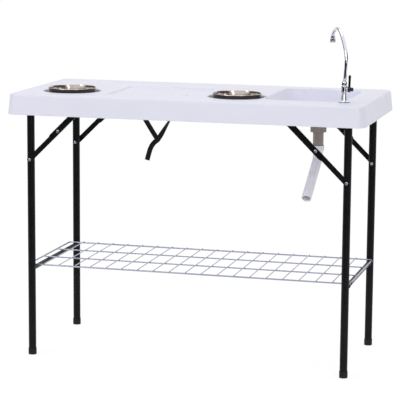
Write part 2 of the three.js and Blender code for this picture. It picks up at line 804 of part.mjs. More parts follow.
// A holder whose +X runs along a link and whose +Z points away from the leg
function linkHolder(origin, along, sign) {
  const across = new THREE.Vector3(along.x, 0, along.y);
  const outward = new THREE.Vector3(0, sign, 0);
  const holder = new THREE.Group();
  const upright = outward.clone().cross(across);
  holder.quaternion.setFromRotationMatrix(
    new THREE.Matrix4().makeBasis(across, upright, outward),
  );
  holder.position.set(origin.x, 0, origin.y);
  return holder;
}

function legFrame(side) {
  const group = new THREE.Group();
  group.position.set(side.x, 0, side.height);
  if (side.inward < 0) group.rotation.z = HALF_TURN;
  const legLength = side.height - FOOT_FLOOR - SEAT;
  for (const row of ROWS) {
    const sign = row.sign * side.inward;
    const label = side.name + "_" + row.name + "_";
    const leg = mesh(
      label + "leg",
      pipe(LEG_RADIUS, LEG_RADIUS - LEG_WALL, -legLength, LEG_RADIUS, ROUND),
      blackSteel,
    );
    leg.position.set(0, sign * LEG_SPREAD, 0);
    const foot = mesh(label + "foot", turned(footProfile(), ROUND), blackRubber);
    foot.position.set(0, sign * LEG_SPREAD, -side.height);
    const outward = new THREE.Vector3(0, sign, 0);
    const pin = mesh(label + "pivot_pin", turned(pivotPinProfile(), ROUND), zincSteel);
    pin.quaternion.setFromUnitVectors(Z, outward);
    const rivet = mesh(label + "leg_rivet", turned(legRivetProfile(), SMALL), zincSteel);
    rivet.quaternion.setFromUnitVectors(Z, outward);
    rivet.position.set(0, 0, -BRACE_DROP);
    group.add(leg, foot, pin, rivet);
  }
  const topTube = mesh(side.name + "_top_tube", copedTube(LEG_RADIUS), blackSteel);
  const shelfBar = mesh(side.name + "_shelf_bar", copedTube(BAR_RADIUS), blackSteel);
  shelfBar.position.z = BAR_HEIGHT - side.height;
  group.add(topTube, shelfBar);
  return group;
}

function braces(side) {
  const group = new THREE.Group();
  group.position.set(side.x, 0, side.height);
  if (side.inward < 0) group.rotation.z = HALF_TURN;
  const line = braceLine();
  const back = line.along.clone().negate();
  for (const row of ROWS) {
    const sign = row.sign * side.inward;
    const label = side.name + "_" + row.name + "_";
    const lower = linkHolder(line.leg, line.along, sign);
    const lowerMesh = mesh(label + "lower_link", lowerLink(), blackSteel);
    lowerMesh.position.z = LINK_PLANE;
    lower.add(lowerMesh);
    const upper = linkHolder(line.stud, back, sign);
    const upperMesh = mesh(label + "upper_link", upperLink(line.upperLength), blackSteel);
    upperMesh.position.z = CHANNEL_PLANE;
    const rivet = mesh(label + "brace_rivet", turned(midRivetProfile(), SMALL), zincSteel);
    rivet.position.x = line.upperLength;
    upper.add(upperMesh, rivet);
    group.add(lower, upper);
  }
  return group;
}

// Rails: side plates that carry the leg pivots and the brace studs
function rail(row) {
  const leftBottom = LEFT_PIVOT_HEIGHT - RAIL_BELOW_LEFT_PIVOT;
  const rightBottom = RIGHT_PIVOT_HEIGHT - RAIL_BELOW_RIGHT_PIVOT;
  const shape = new THREE.Shape();
  shape.moveTo(-RAIL_HALF_LENGTH, leftBottom);
  shape.lineTo(RAIL_STEP_X - RAIL_STEP_RUN, leftBottom);
  shape.lineTo(RAIL_STEP_X, rightBottom);
  shape.lineTo(RAIL_HALF_LENGTH, rightBottom);
  shape.lineTo(RAIL_HALF_LENGTH, RAIL_TOP);
  shape.lineTo(-RAIL_HALF_LENGTH, RAIL_TOP);
  const web = plate(shape, RAIL_SHEET).rotateX(QUARTER_TURN);
  const inner = row.sign * RAIL_PLANE;
  web.translate(0, row.sign > 0 ? inner + RAIL_SHEET : inner, 0);
  const skirtInside = TOP_WIDTH / 2 - SKIRT_WALL - drawnIn(UNDERSIDE);
  const reach = row.sign * (skirtInside - FLANGE_GAP);
  const flangeFrom = Math.min(inner, reach);
  const flangeTo = Math.max(inner, reach);
  const flange = box(
    -RAIL_HALF_LENGTH,
    RAIL_HALF_LENGTH,
    flangeFrom,
    flangeTo,
    RAIL_TOP - RAIL_SHEET,
    RAIL_TOP,
  );
  let body = solid(web).add(solid(flange));
  const outward = new THREE.Vector3(0, row.sign, 0);
  const boreEnd = RAIL_PLANE + RAIL_SHEET + OVERRUN;
  for (const side of SIDES) {
    const bore = rod(PIVOT_SHANK_RADIUS + SEAT, RAIL_PLANE - OVERRUN, boreEnd, SMALL);
    body = body.subtract(solid(bore, aimed(outward, side.x, 0, side.height)));
    const studX = side.x + side.inward * BRACE_REACH;
    const studHeight = side.height + BRACE_RISE;
    const stud = turned(
      [
        [0, CHANNEL_PLANE],
        [STUD_RADIUS, CHANNEL_PLANE],
        [STUD_RADIUS, STUD_PLANE],
        [STUD_COLLAR_RADIUS, STUD_PLANE],
        [STUD_COLLAR_RADIUS, RAIL_PLANE + RAIL_SHEET / 2],
        [0, RAIL_PLANE + RAIL_SHEET / 2],
      ],
      SMALL,
    );
    body = body.add(solid(stud, aimed(outward, studX, 0, studHeight)));
  }
  return mesh(row.name + "_rail", body, blackSteel);
}

// Wire shelf
function frameWire() {
  const half = SHELF_HALF_LENGTH - SHELF_CORNER;
  const halfWidth = SHELF_HALF_WIDTH - SHELF_CORNER;
  const corners = [
    [half, -halfWidth, -QUARTER_TURN],
    [half, halfWidth, 0],
    [-half, halfWidth, QUARTER_TURN],
    [-half, -halfWidth, HALF_TURN],
  ];
  const points = [];
  const steps = 3;
  for (const [x, y, start] of corners) {
    for (let step = 0; step <= steps; step += 1) {
      const angle = start + (QUARTER_TURN * step) / steps;
      points.push(
        new THREE.Vector3(
          x + SHELF_CORNER * Math.cos(angle),
          y + SHELF_CORNER * Math.sin(angle),
          0,
        ),
      );
    }
  }
  return sweptLoop(points, FRAME_WIRE_RADIUS);
}

// A round wire along a closed run of points in one level plane
function sweptLoop(points, radius) {
  const count = points.length;
  const positions = [];
  const index = [];
  points.forEach((point, i) => {
    const before = points[(i + count - 1) % count];
    const after = points[(i + 1) % count];
    const first = point.clone().sub(before).normalize();
    const second = after.clone().sub(point).normalize();
    const along = first.add(second).normalize();
    const outward = along.clone().cross(Z);
    for (let side = 0; side < WIRE; side += 1) {
      const angle = (2 * Math.PI * side) / WIRE;
      const spot = point.clone().addScaledVector(outward, radius * Math.cos(angle));
      spot.addScaledVector(Z, radius * Math.sin(angle));
      positions.push(...spot.toArray());
    }
  });
  for (let i = 0; i < count; i += 1) {
    const here = i * WIRE;
    const next = ((i + 1) % count) * WIRE;
    for (let side = 0; side < WIRE; side += 1) {
      const other = (side + 1) % WIRE;
      index.push(here + side, next + side, next + other, here + side, next + other, here + other);
    }
  }
  const geometry = new THREE.BufferGeometry();
  geometry.setAttribute("position", new THREE.Float32BufferAttribute(positions, 3));
  geometry.setIndex(index);
  return geometry;
}

function wireShelf() {
  const wires = [solid(frameWire())];
  const longRows = [-1, 1].map((side) => (side * SHELF_HALF_WIDTH) / 3);
  for (const y of longRows) {
    const wire = rod(LONG_WIRE_RADIUS, -SHELF_HALF_LENGTH, SHELF_HALF_LENGTH, WIRE);
    wires.push(solid(wire, aimed(X, 0, y, 0)));
  }
  const lift = FRAME_WIRE_RADIUS + CROSS_WIRE_RADIUS - WELD_DEPTH;
  const pitch = (2 * SHELF_HALF_LENGTH) / (CROSS_WIRES + 1);
  for (let i = 1; i <= CROSS_WIRES; i += 1) {
    const wire = rod(CROSS_WIRE_RADIUS, -SHELF_HALF_WIDTH, SHELF_HALF_WIDTH, WIRE - 2);
    wires.push(solid(wire, aimed(Y, i * pitch - SHELF_HALF_LENGTH, 0, lift)));
  }
  const made = mesh("wire_shelf", joined(wires), zincSteel);
  made.position.z = SHELF_HEIGHT;
  return made;
}

// A clip's section, seen from the front with its origin in the middle of the bar: it wraps the bar's
// outer side and has a notch for the shelf's end wire
function clipSection() {
  const inner = BAR_RADIUS + SEAT;
  const outer = inner + CLIP_WALL;
  const wireLevel = SHELF_HEIGHT - BAR_HEIGHT;
  const notchFloor = wireLevel - FRAME_WIRE_RADIUS - SEAT;
  const notchSide = SHELF_OVERHANG + FRAME_WIRE_RADIUS + SEAT;
  const hornTop = wireLevel + CLIP_HORN;
  const lower = radians(CLIP_LOWER_DEG);
  const upper = radians(CLIP_UPPER_DEG);
  const ear = radians(CLIP_EAR_DEG);
  const shape = new THREE.Shape();
  shape.absarc(0, 0, inner, lower, upper, false);
  shape.lineTo(inner * Math.cos(upper), notchFloor);
  shape.lineTo(notchSide, notchFloor);
  shape.lineTo(notchSide, hornTop);
  shape.lineTo(notchSide + CLIP_WALL, hornTop);
  shape.lineTo(notchSide + CLIP_WALL, outer * Math.sin(ear));
  shape.absarc(0, 0, outer, ear, lower, true);
  return shape;
}

function shelfClip(row) {
  const shape = clipSection();
  const made = mesh(`shelf_clip_${row.name}`, plate(shape, CLIP_WIDTH), blackPlastic);
  made.rotation.x = QUARTER_TURN;
  const y = row.sign * (SHELF_HALF_WIDTH - CLIP_FROM_SIDE);
  made.position.set(RIGHT_PIVOT_X, y + CLIP_WIDTH / 2, BAR_HEIGHT);
  return made;
}

// Faucet. Its pieces share a holder whose origin is on the deck at the faucet's axis.
const RISER_TOP = FAUCET_RISER_HEIGHT;
const VALVE_BOTTOM = RISER_TOP + SEAT;
const VALVE_TOP = VALVE_BOTTOM + VALVE_HEIGHT;
const COLLAR_BOTTOM = VALVE_TOP + SEAT;
const BOSS_LEVEL = VALVE_BOTTOM + VALVE_HEIGHT / 2;

function faucetBase() {
  const thread = SHANK_RADIUS;
  return turned(
    [
      [0, -SHANK_LENGTH],
      [thread, -SHANK_LENGTH],
      [thread, SEAT],
      [FAUCET_FLANGE_RADIUS, SEAT],
      [FAUCET_FLANGE_RADIUS, FAUCET_FLANGE_HEIGHT * 0.45],
      [FAUCET_FLANGE_RADIUS * 0.9, FAUCET_FLANGE_HEIGHT * 0.8],
      [FAUCET_RISER_RADIUS * 1.2, FAUCET_FLANGE_HEIGHT],
      [FAUCET_RISER_RADIUS, FAUCET_FLANGE_HEIGHT * 1.6],
      [FAUCET_RISER_RADIUS, RISER_TOP],
      [0, RISER_TOP],
    ],
    ROUND,
  );
}

function faucetBody() {
  const barrel = turned(
    [
      [0, VALVE_BOTTOM],
      [VALVE_RADIUS - VALVE_WAIST, VALVE_BOTTOM],
      [VALVE_RADIUS, VALVE_BOTTOM + VALVE_WAIST * 2],
      [VALVE_RADIUS, VALVE_TOP - VALVE_WAIST * 2],
      [VALVE_RADIUS - VALVE_WAIST, VALVE_TOP],
      [0, VALVE_TOP],
    ],
    ROUND,
  );
  const boss = rod(BOSS_RADIUS, 0, BOSS_REACH, ROUND);
  return solid(barrel).add(solid(boss, aimed(X, 0, 0, BOSS_LEVEL)));
}

function faucetCollar() {
  const bore = SPOUT_RADIUS + SEAT;
  const top = COLLAR_BOTTOM + COLLAR_HEIGHT;
  return turned(
    [
      [bore, COLLAR_BOTTOM],
      [COLLAR_RADIUS, COLLAR_BOTTOM],
      [COLLAR_RADIUS, top - COLLAR_HEIGHT * 0.3],
      [COLLAR_RADIUS * 0.86, top],
      [bore, top],
    ],
    ROUND,
  );
}

// The gooseneck leans back, bends over and ends above the sink, in its own upright plane.
function spoutRoute() {
  const shares = [
    [-0.25, 0, 0.14],
    [-0.85, 0, 0.34],
    [-1, 0, 0.52],
    [-0.45, 0, 0.7],
    [0, 0.1, 0.86],
    [0, 0.32, 0.97],
    [0, 0.58, 1],
    [0, 0.82, 0.965],
    [0, 0.96, 0.91],
  ];
  const foot = COLLAR_BOTTOM;
  const free = foot + COLLAR_HEIGHT + SPOUT_RADIUS / 2;
  const points = shares.map(
    ([lean, out, up]) =>
      new THREE.Vector3(SPOUT_LEAN * lean + SPOUT_REACH * out, 0, foot + SPOUT_RISE * up),
  );
  const end = new THREE.Vector3(SPOUT_REACH, 0, foot + SPOUT_RISE - SPOUT_DROP);
  points.unshift(new THREE.Vector3(0, 0, free));
  points.push(end.clone().addScaledVector(Z, SPOUT_RADIUS / 2));
  const route = new THREE.CatmullRomCurve3(points, false, "centripetal").getPoints(22);
  return [new THREE.Vector3(0, 0, foot), ...route, end];
}

function faucetSpout() {
  return solid(sweptRound(spoutRoute(), SPOUT_RADIUS, SMALL));
}

function faucetAerator() {
  const bottom = -AERATOR_HEIGHT;
  const split = -AERATOR_HEIGHT * 0.42;
  return turned(
    [
      [0, bottom + AERATOR_BORE_DEPTH],
      [AERATOR_BORE_RADIUS, bottom + AERATOR_BORE_DEPTH],
      [AERATOR_BORE_RADIUS, bottom],
      [AERATOR_RADIUS * 0.94, bottom],
      [AERATOR_RADIUS, bottom + AERATOR_HEIGHT * 0.08],
      [AERATOR_RADIUS, split],
      [AERATOR_NECK_RADIUS, split + AERATOR_HEIGHT * 0.05],
      [AERATOR_NECK_RADIUS, -SEAT - AERATOR_HEIGHT * 0.06],
      [AERATOR_NECK_RADIUS * 0.9, -SEAT],
      [0, -SEAT],
    ],
    ROUND,
  );
}

// The lever turns about the valve's boss, which runs along +X.
function faucetLever() {
  const start = BOSS_REACH + SEAT;
  const hub = turned(
    [
      [0, start],
      [HUB_RADIUS * 0.9, start],
      [HUB_RADIUS, start + HUB_LENGTH * 0.12],
      [HUB_RADIUS, start + HUB_LENGTH * 0.85],
      [HUB_RADIUS * 0.85, start + HUB_LENGTH],
      [0, start + HUB_LENGTH],
    ],
    ROUND,
  );
  const foot = start + HUB_LENGTH / 2;
  const rings = [];
  const shares = [
    [0.1, 1, 0],
    [0.5, 0.86, 0.4],
    [0.9, 1, 0.9],
    [1, 0.7, 1],
  ];
  for (const [up, girth, lean] of shares) {
    const wide = between(LEVER_WIDTH, LEVER_TIP_WIDTH, up) * girth;
    const thick = LEVER_THICKNESS * girth;
    const area = {
      left: foot + LEVER_LEAN * lean - thick / 2,
      right: foot + LEVER_LEAN * lean + thick / 2,
      front: -wide / 2,
      back: wide / 2,
      corner: thick * 0.45,
    };
    rings.push(ring(area, LEVER_LENGTH * up, 0, 2));
  }
  const arm = solid(loft(rings));
  return solid(hub, aimed(X, 0, 0, 0)).add(arm);
}

function leverCap() {
  const start = BOSS_REACH + HUB_LENGTH + 2 * SEAT;
  return turned(
    [
      [0, start],
      [CAP_RADIUS * 0.8, start],
      [CAP_RADIUS, start + CAP_LENGTH * 0.25],
      [CAP_RADIUS, start + CAP_LENGTH * 0.7],
      [CAP_RADIUS * 0.6, start + CAP_LENGTH],
      [0, start + CAP_LENGTH],
    ],
    ROUND,
  );
}

function hexNut() {
  const shape = new THREE.Shape();
  for (let corner = 0; corner < 6; corner += 1) {
    const angle = (Math.PI * corner) / 3;
    const x = NUT_RADIUS * Math.cos(angle);
    const y = NUT_RADIUS * Math.sin(angle);
    if (corner === 0) shape.moveTo(x, y);
    else shape.lineTo(x, y);
  }
  const bore = rod(SHANK_RADIUS + SEAT, -OVERRUN, NUT_HEIGHT + OVERRUN, ROUND);
  return solid(plate(shape, NUT_HEIGHT)).subtract(solid(bore));
}

function hoseConnector() {
  const top = -SHANK_LENGTH - SEAT;
  const bottom = top - HOSE_END_LENGTH;
  return turned(
    [
      [0, bottom],
      [HOSE_NIPPLE_RADIUS * 0.9, bottom],
      [HOSE_NIPPLE_RADIUS, bottom + HOSE_END_LENGTH * 0.1],
      [HOSE_NIPPLE_RADIUS * 0.8, bottom + HOSE_END_LENGTH * 0.22],
      [HOSE_NIPPLE_RADIUS, bottom + HOSE_END_LENGTH * 0.45],
      [HOSE_END_RADIUS, bottom + HOSE_END_LENGTH * 0.52],
      [HOSE_END_RADIUS, top],
      [0, top],
    ],
    ROUND,
  );
}

function faucet() {
  const holder = new THREE.Group();
  holder.position.set(FAUCET_X, FAUCET_Y, TOP_HEIGHT);
  const spoutHolder = new THREE.Group();
  spoutHolder.rotation.z = radians(SPOUT_TURN_DEG);
  const aerator = mesh("faucet_aerator", faucetAerator(), chrome);
  aerator.position.set(SPOUT_REACH, 0, COLLAR_BOTTOM + SPOUT_RISE - SPOUT_DROP);
  spoutHolder.add(mesh("faucet_spout", faucetSpout(), chrome), aerator);
  const lever = mesh("faucet_lever", faucetLever(), chrome);
  lever.position.z = BOSS_LEVEL;
  const cap = mesh("lever_cap", leverCap(), chrome);
  cap.position.z = BOSS_LEVEL;
  cap.rotation.y = QUARTER_TURN;
  const nut = mesh("faucet_nut", hexNut(), zincSteel);
  nut.position.z = -SLAB_THICKNESS - SEAT - NUT_HEIGHT;
  holder.add(
    mesh("faucet_base", faucetBase(), chrome),
    mesh("faucet_body", faucetBody(), chrome),
    mesh("faucet_collar", faucetCollar(), chrome),
    mesh("hose_connector", hoseConnector(), zincSteel),
    spoutHolder,
    lever,
    cap,
    nut,
  );
  return holder;
}

// Drain. Its pieces share a holder whose origin is on the sink's floor at the drain's axis.
const GASKET_TOP = -SINK_WALL - SEAT;
const DRAIN_NUT_TOP = GASKET_TOP - GASKET_HEIGHT - SEAT;
const DRAIN_NUT_BOTTOM = DRAIN_NUT_TOP - DRAIN_NUT_HEIGHT;
const STRAINER_SEAT = -STRAINER_RECESS + SEAT;
const STRAINER_BOTTOM = STRAINER_SEAT - STRAINER_TUBE_LENGTH;
const TAILPIPE_TOP = STRAINER_BOTTOM - SEAT;
const TAILPIPE_BOTTOM = TAILPIPE_TOP - TAILPIPE_LENGTH;

function drainStrainer() {
  const outer = STRAINER_CUP_RADIUS;
  const inner = outer - STRAINER_WALL;
  const gridTop = STRAINER_SEAT - STRAINER_CUP_DEPTH;
  const gridBottom = gridTop - STRAINER_SHEET;
  const form = turned(
    [
      [0, gridBottom],
      [inner, gridBottom],
      [inner, STRAINER_BOTTOM],
      [outer, STRAINER_BOTTOM],
      [outer, STRAINER_SEAT],
      [STRAINER_RADIUS, STRAINER_SEAT],
      [STRAINER_RADIUS, STRAINER_SEAT + STRAINER_SHEET * 0.4],
      [STRAINER_RADIUS * 0.93, STRAINER_SEAT + STRAINER_SHEET],
      [inner * 1.08, STRAINER_SEAT + STRAINER_SHEET],
      [inner * 0.92, gridTop],
      [0, gridTop],
    ],
    FINE,
  );
  let body = solid(form);
  const circle = inner * 0.62;
  for (let i = 0; i < STRAINER_HOLES; i += 1) {
    const angle = (2 * Math.PI * i) / STRAINER_HOLES;
    const cut = rod(STRAINER_HOLE_RADIUS, gridBottom - OVERRUN, gridTop + OVERRUN, WIRE);
    const place = moved(circle * Math.cos(angle), circle * Math.sin(angle), 0);
    body = body.subtract(solid(cut, place));
  }
  return body;
}

// A tall ribbed nut with a lip at its foot that holds up the tailpipe's flange
function drainNut() {
  const shape = new THREE.Shape();
  const steps = DRAIN_NUT_RIBS * 4;
  for (let i = 0; i < steps; i += 1) {
    const onRib = i % 4 < 2;
    const radius = DRAIN_NUT_RADIUS + (onRib ? DRAIN_NUT_RIB : 0);
    const angle = (2 * Math.PI * (i + (i % 2) * 0.6)) / steps;
    const x = radius * Math.cos(angle);
    const y = radius * Math.sin(angle);
    if (i === 0) shape.moveTo(x, y);
    else shape.lineTo(x, y);
  }
  const block = solid(plate(shape, DRAIN_NUT_HEIGHT), moved(0, 0, DRAIN_NUT_BOTTOM));
  const lipTop = DRAIN_NUT_BOTTOM + DRAIN_NUT_LIP;
  const upper = rod(STRAINER_CUP_RADIUS + SEAT, lipTop, DRAIN_NUT_TOP + OVERRUN, ROUND * 1.5);
  const lower = rod(TAILPIPE_RADIUS + SEAT, DRAIN_NUT_BOTTOM - OVERRUN, lipTop + OVERRUN, ROUND);
  return block.subtract(solid(upper)).subtract(solid(lower));
}

function tailpipe() {
  const inner = TAILPIPE_RADIUS - TAILPIPE_WALL;
  const flange = STRAINER_CUP_RADIUS - SEAT;
  return turned(
    [
      [inner, TAILPIPE_BOTTOM],
      [TAILPIPE_RADIUS, TAILPIPE_BOTTOM],
      [TAILPIPE_RADIUS, TAILPIPE_TOP - TAILPIPE_FLANGE],
      [flange, TAILPIPE_TOP - TAILPIPE_FLANGE],
      [flange, TAILPIPE_TOP],
      [inner, TAILPIPE_TOP],
    ],
    ROUND,
  );
}

// The outlet: a socket over the tailpipe's end, a bend and a straight run with an open mouth
function outletRoute(from) {
  const tilt = radians(OUTLET_TILT_DEG);
  const points = [new THREE.Vector3(0, 0, from), new THREE.Vector3(0, 0, from - OUTLET_LEAD)];
  const bendSteps = 5;
  for (let step = 1; step <= bendSteps; step += 1) {
    const angle = (tilt * step) / bendSteps;
    const out = OUTLET_BEND_RADIUS * (1 - Math.cos(angle));
    const down = OUTLET_BEND_RADIUS * Math.sin(angle);
    points.push(new THREE.Vector3(out, 0, from - OUTLET_LEAD - down));
  }
  const last = points[points.length - 1];
  const end = last.clone();
  end.x += OUTLET_RUN * Math.sin(tilt);
  end.z -= OUTLET_RUN * Math.cos(tilt);
  points.push(end);
  return points;
}

// A round form along points in the upright plane of X and Z, one ring square to each point's run
function sweptRound(points, radius, segments) {
  const rings = points.map((point, i) => {
    const before = points[Math.max(i - 1, 0)];
    const after = points[Math.min(i + 1, points.length - 1)];
    const along = after.clone().sub(before).normalize();
    const across = Y.clone().cross(along).normalize();
    return Array.from({ length: segments }, (_, side) => {
      const angle = (2 * Math.PI * side) / segments;
      const spot = point.clone().addScaledVector(across, radius * Math.cos(angle));
      return spot.addScaledVector(Y, radius * Math.sin(angle));
    });
  });
  return loft(rings);
}

function extended(points, amount) {
  const last = points.length - 1;
  const start = points[0].clone().sub(points[1]).setLength(amount).add(points[0]);
  const end = points[last].clone().sub(points[last - 1]).setLength(amount).add(points[last]);
  return [start, ...points.slice(1, last), end];
}

function drainOutlet() {
  const inner = (TAILPIPE_RADIUS + SEAT) / Math.cos(Math.PI / ROUND);
  const floor = TAILPIPE_BOTTOM - SEAT;
  const foot = floor - SOCKET_WALL;
  const socket = turned(
    [
      [0, foot - OUTLET_LEAD / 2],
      [OUTLET_RADIUS, foot - OUTLET_LEAD / 2],
      [inner + SOCKET_WALL, foot],
      [inner + SOCKET_WALL, foot + SOCKET_HEIGHT],
      [0, foot + SOCKET_HEIGHT],
    ],
    ROUND,
  );
  const points = outletRoute(foot);
  const bore = extended(points, SOCKET_WALL + OVERRUN);
  return solid(socket)
    .add(solid(sweptRound(points, OUTLET_RADIUS, ROUND)))
    .subtract(solid(sweptRound(bore, OUTLET_RADIUS - OUTLET_WALL, ROUND)))
    .subtract(solid(rod(inner, floor, foot + SOCKET_HEIGHT + OVERRUN, ROUND)));
}

function drain() {
  const holder = new THREE.Group();
  holder.position.set(DRAIN_X, DRAIN_Y, SINK_FLOOR);
  const gasket = pipe(
    GASKET_RADIUS,
    STRAINER_CUP_RADIUS + SEAT,
    GASKET_TOP - GASKET_HEIGHT,
    GASKET_TOP,
    FINE,
  );
  const outlet = mesh("drain_outlet", drainOutlet(), whitePlastic);
  outlet.rotation.z = radians(OUTLET_TURN_DEG);
  holder.add(
    mesh("drain_strainer", drainStrainer(), polishedSteel),
    mesh("drain_gasket", gasket, blackRubber),
    mesh("drain_nut", drainNut(), greyPlastic),
    mesh("drain_tailpipe", tailpipe(), greyPlastic),
    outlet,
  );
  return holder;
}

// Strap. A long and a short piece of webbing, each sewn round the bar of its own staple, meet in a
// V and hang on as one tail. A route point is [x, y, z, turn], where turn is the webbing's heading
// seen from above: 0 where its width runs along X, 90 where it runs along Y.
const STAPLE_BAR = UNDERSIDE - SEAT - STAPLE_DROP + STAPLE_SHEET / 2;
const STRAP_LAP = STRAP_THICKNESS + SEAT;

// The webbing's way over a staple's bar, as [out, up] from the bar's middle
function overBar() {
  const out = STAPLE_DEPTH / 2 + STRAP_LAP;
  const up = STAPLE_SHEET / 2 + STRAP_LAP;
  const shoulder = out * 0.75;
  return [
    [shoulder, -up],
    [out, 0],
    [shoulder, up * 0.8],
    [0, up],
    [-shoulder, up * 0.8],
    [-out, 0],
  ];
}

// Shares of an arm from its staple to the meeting point: [along X, down, to the front, turn]
const RIGHT_ARM_SHARES = [
  [0.141, 0.101, 0, 88],
  [0.25, 0.224, 0.1, 80],
  [0.38, 0.373, 0.3, 68],
  [0.52, 0.535, 0.5, 54],
  [0.652, 0.67, 0.8, 38],
  [0.765, 0.785, 1, 20],
  [0.855, 0.872, 1, 5],
  [0.93, 0.94, 1, 0],
  [1, 1, 1, 0],
];
const LEFT_ARM_SHARES = [
  [0.13, 0.138, 0],
  [0.22, 0.237, 0],
  [0.35, 0.36, 0],
  [0.48, 0.483, 0],
  [0.6, 0.606, 0],
  [0.72, 0.729, 0],
  [0.83, 0.838, 0],
  [0.93, 0.935, 0],
  [1.01, 1.013, 0],
];
const TAIL_SHARES = [
  [0.31, 0.133, 0],
  [0.545, 0.293, -4],
  [0.727, 0.493, -6],
  [0.857, 0.72, -5],
  [1, 1, -3],
];

function longStrapRoute() {
  const meet = { x: STRAP_MEET_X, z: UNDERSIDE - STRAP_MEET_DROP };
  const lapEnd = STRAP_LAP * 7;
  const route = [
    [STRAP_RIGHT_X - lapEnd, 0, STAPLE_BAR - lapEnd * 1.47, 90],
    [STRAP_RIGHT_X - lapEnd / 2, 0, STAPLE_BAR - lapEnd * 0.63, 90],
  ];
  for (const [out, up] of overBar()) route.push([STRAP_RIGHT_X + out, 0, STAPLE_BAR + up, 90]);
  for (const [along, down, front, turn] of RIGHT_ARM_SHARES) {
    const x = between(STRAP_RIGHT_X, meet.x, along);
    route.push([x, -STRAP_LAP * front, between(STAPLE_BAR, meet.z, down), turn]);
  }
  for (const [along, down, turn] of TAIL_SHARES) {
    const x = meet.x - STRAP_TAIL_REACH * along;
    route.push([x, -STRAP_LAP, meet.z - STRAP_TAIL_DROP * down, turn]);
  }
  return route;
}

function shortStrapRoute() {
  const meet = { x: STRAP_MEET_X, z: UNDERSIDE - STRAP_MEET_DROP };
  const lapX = between(STRAP_LEFT_X, meet.x, 0.125);
  const lapZ = between(STAPLE_BAR, meet.z, 0.135);
  const half = [between(STRAP_LEFT_X, meet.x, 0.06), between(STAPLE_BAR, meet.z, 0.07)];
  const route = [
    [lapX, STRAP_LAP, lapZ, 0],
    [half[0], STRAP_LAP * 1.3, half[1], 0],
  ];
  for (const [out, up] of overBar()) route.push([STRAP_LEFT_X, out, STAPLE_BAR + up, 0]);
  route.push([half[0], -STRAP_LAP * 0.7, half[1], 0]);
  for (const [along, down, turn] of LEFT_ARM_SHARES) {
    const x = between(STRAP_LEFT_X, meet.x, along);
    route.push([x, 0, between(STAPLE_BAR, meet.z, down), turn]);
  }
  return route;
}

function webbing(route) {
  const points = route.map(([x, y, z]) => new THREE.Vector3(x, y, z));
  const rings = points.map((point, i) => {
    const before = points[Math.max(i - 1, 0)];
    const after = points[Math.min(i + 1, points.length - 1)];
    const along = after.clone().sub(before).normalize();
    const turn = radians(route[i][3]);
    const wide = new THREE.Vector3(Math.cos(turn), -Math.sin(turn), 0);
    wide.projectOnPlane(along).normalize();
    const thick = along.clone().cross(wide);
    const halfWidth = STRAP_WIDTH / 2;
    const halfThickness = STRAP_THICKNESS / 2;
    const section = [
      [1, -0.5],
      [1, 0.5],
      [0.9, 1],
      [-0.9, 1],
      [-1, 0.5],
      [-1, -0.5],
      [-0.9, -1],
      [0.9, -1],
    ];
    return section.map(([across, through]) =>
      point
        .clone()
        .addScaledVector(wide, across * halfWidth)
        .addScaledVector(thick, through * halfThickness),
    );
  });
  return loft(rings);
}

// A staple under the slab, with its bar along X
function staple() {
  const half = STAPLE_LENGTH / 2;
  const top = UNDERSIDE - SEAT;
  const inner = half - STAPLE_SHEET;
  const bar = STAPLE_DROP - STAPLE_SHEET;
  const shape = new THREE.Shape();
  shape.moveTo(-half, 0);
  shape.lineTo(-half, -STAPLE_DROP);
  shape.lineTo(half, -STAPLE_DROP);
  shape.lineTo(half, 0);
  const opening = new THREE.Path();
  opening.moveTo(-inner, -STAPLE_SHEET);
  opening.lineTo(inner, -STAPLE_SHEET);
  opening.lineTo(inner, -bar);
  opening.lineTo(-inner, -bar);
  opening.closePath();
  shape.holes.push(opening);
  return plate(shape, STAPLE_DEPTH).rotateX(QUARTER_TURN).translate(0, STAPLE_DEPTH / 2, top);
}

function strap() {
  const holder = new THREE.Group();
  const right = mesh("strap_staple_right", staple(), zincSteel);
  right.position.x = STRAP_RIGHT_X;
  right.rotation.z = QUARTER_TURN;
  const left = mesh("strap_staple_left", staple(), zincSteel);
  left.position.x = STRAP_LEFT_X;
  holder.add(
    right,
    left,
    mesh("strap_long", webbing(longStrapRoute()), blackWebbing),
    mesh("strap_short", webbing(shortStrapRoute()), blackWebbing),
  );
  return holder;
}

const table = new THREE.Group();
table.name = "fish_cleaning_table";
table.add(
  tableTop(),
  sinkShell(),
  bowl("bowl_left", WELL_LEFT_X),
  bowl("bowl_right", WELL_RIGHT_X),
  faucet(),
  drain(),
  strap(),
  wireShelf(),
);
for (const row of ROWS) table.add(rail(row), shelfClip(row));
for (const side of SIDES) table.add(legFrame(side), braces(side));

export default table;
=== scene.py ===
"""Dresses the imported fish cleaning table: smooth shapes, real finishes, the photo's camera and light.

Metres, +Z up, the front towards -Y. What a box doesn't tell is named at the head of its section, as
in the part's source: walls, roundings, holes, the places of the sink and the tray, and the routes of
the strap and the pipes.
"""

import math
from collections import namedtuple

import bmesh
import bpy
from mathutils import Matrix, Vector
from mathutils.geometry import tessellate_polygon


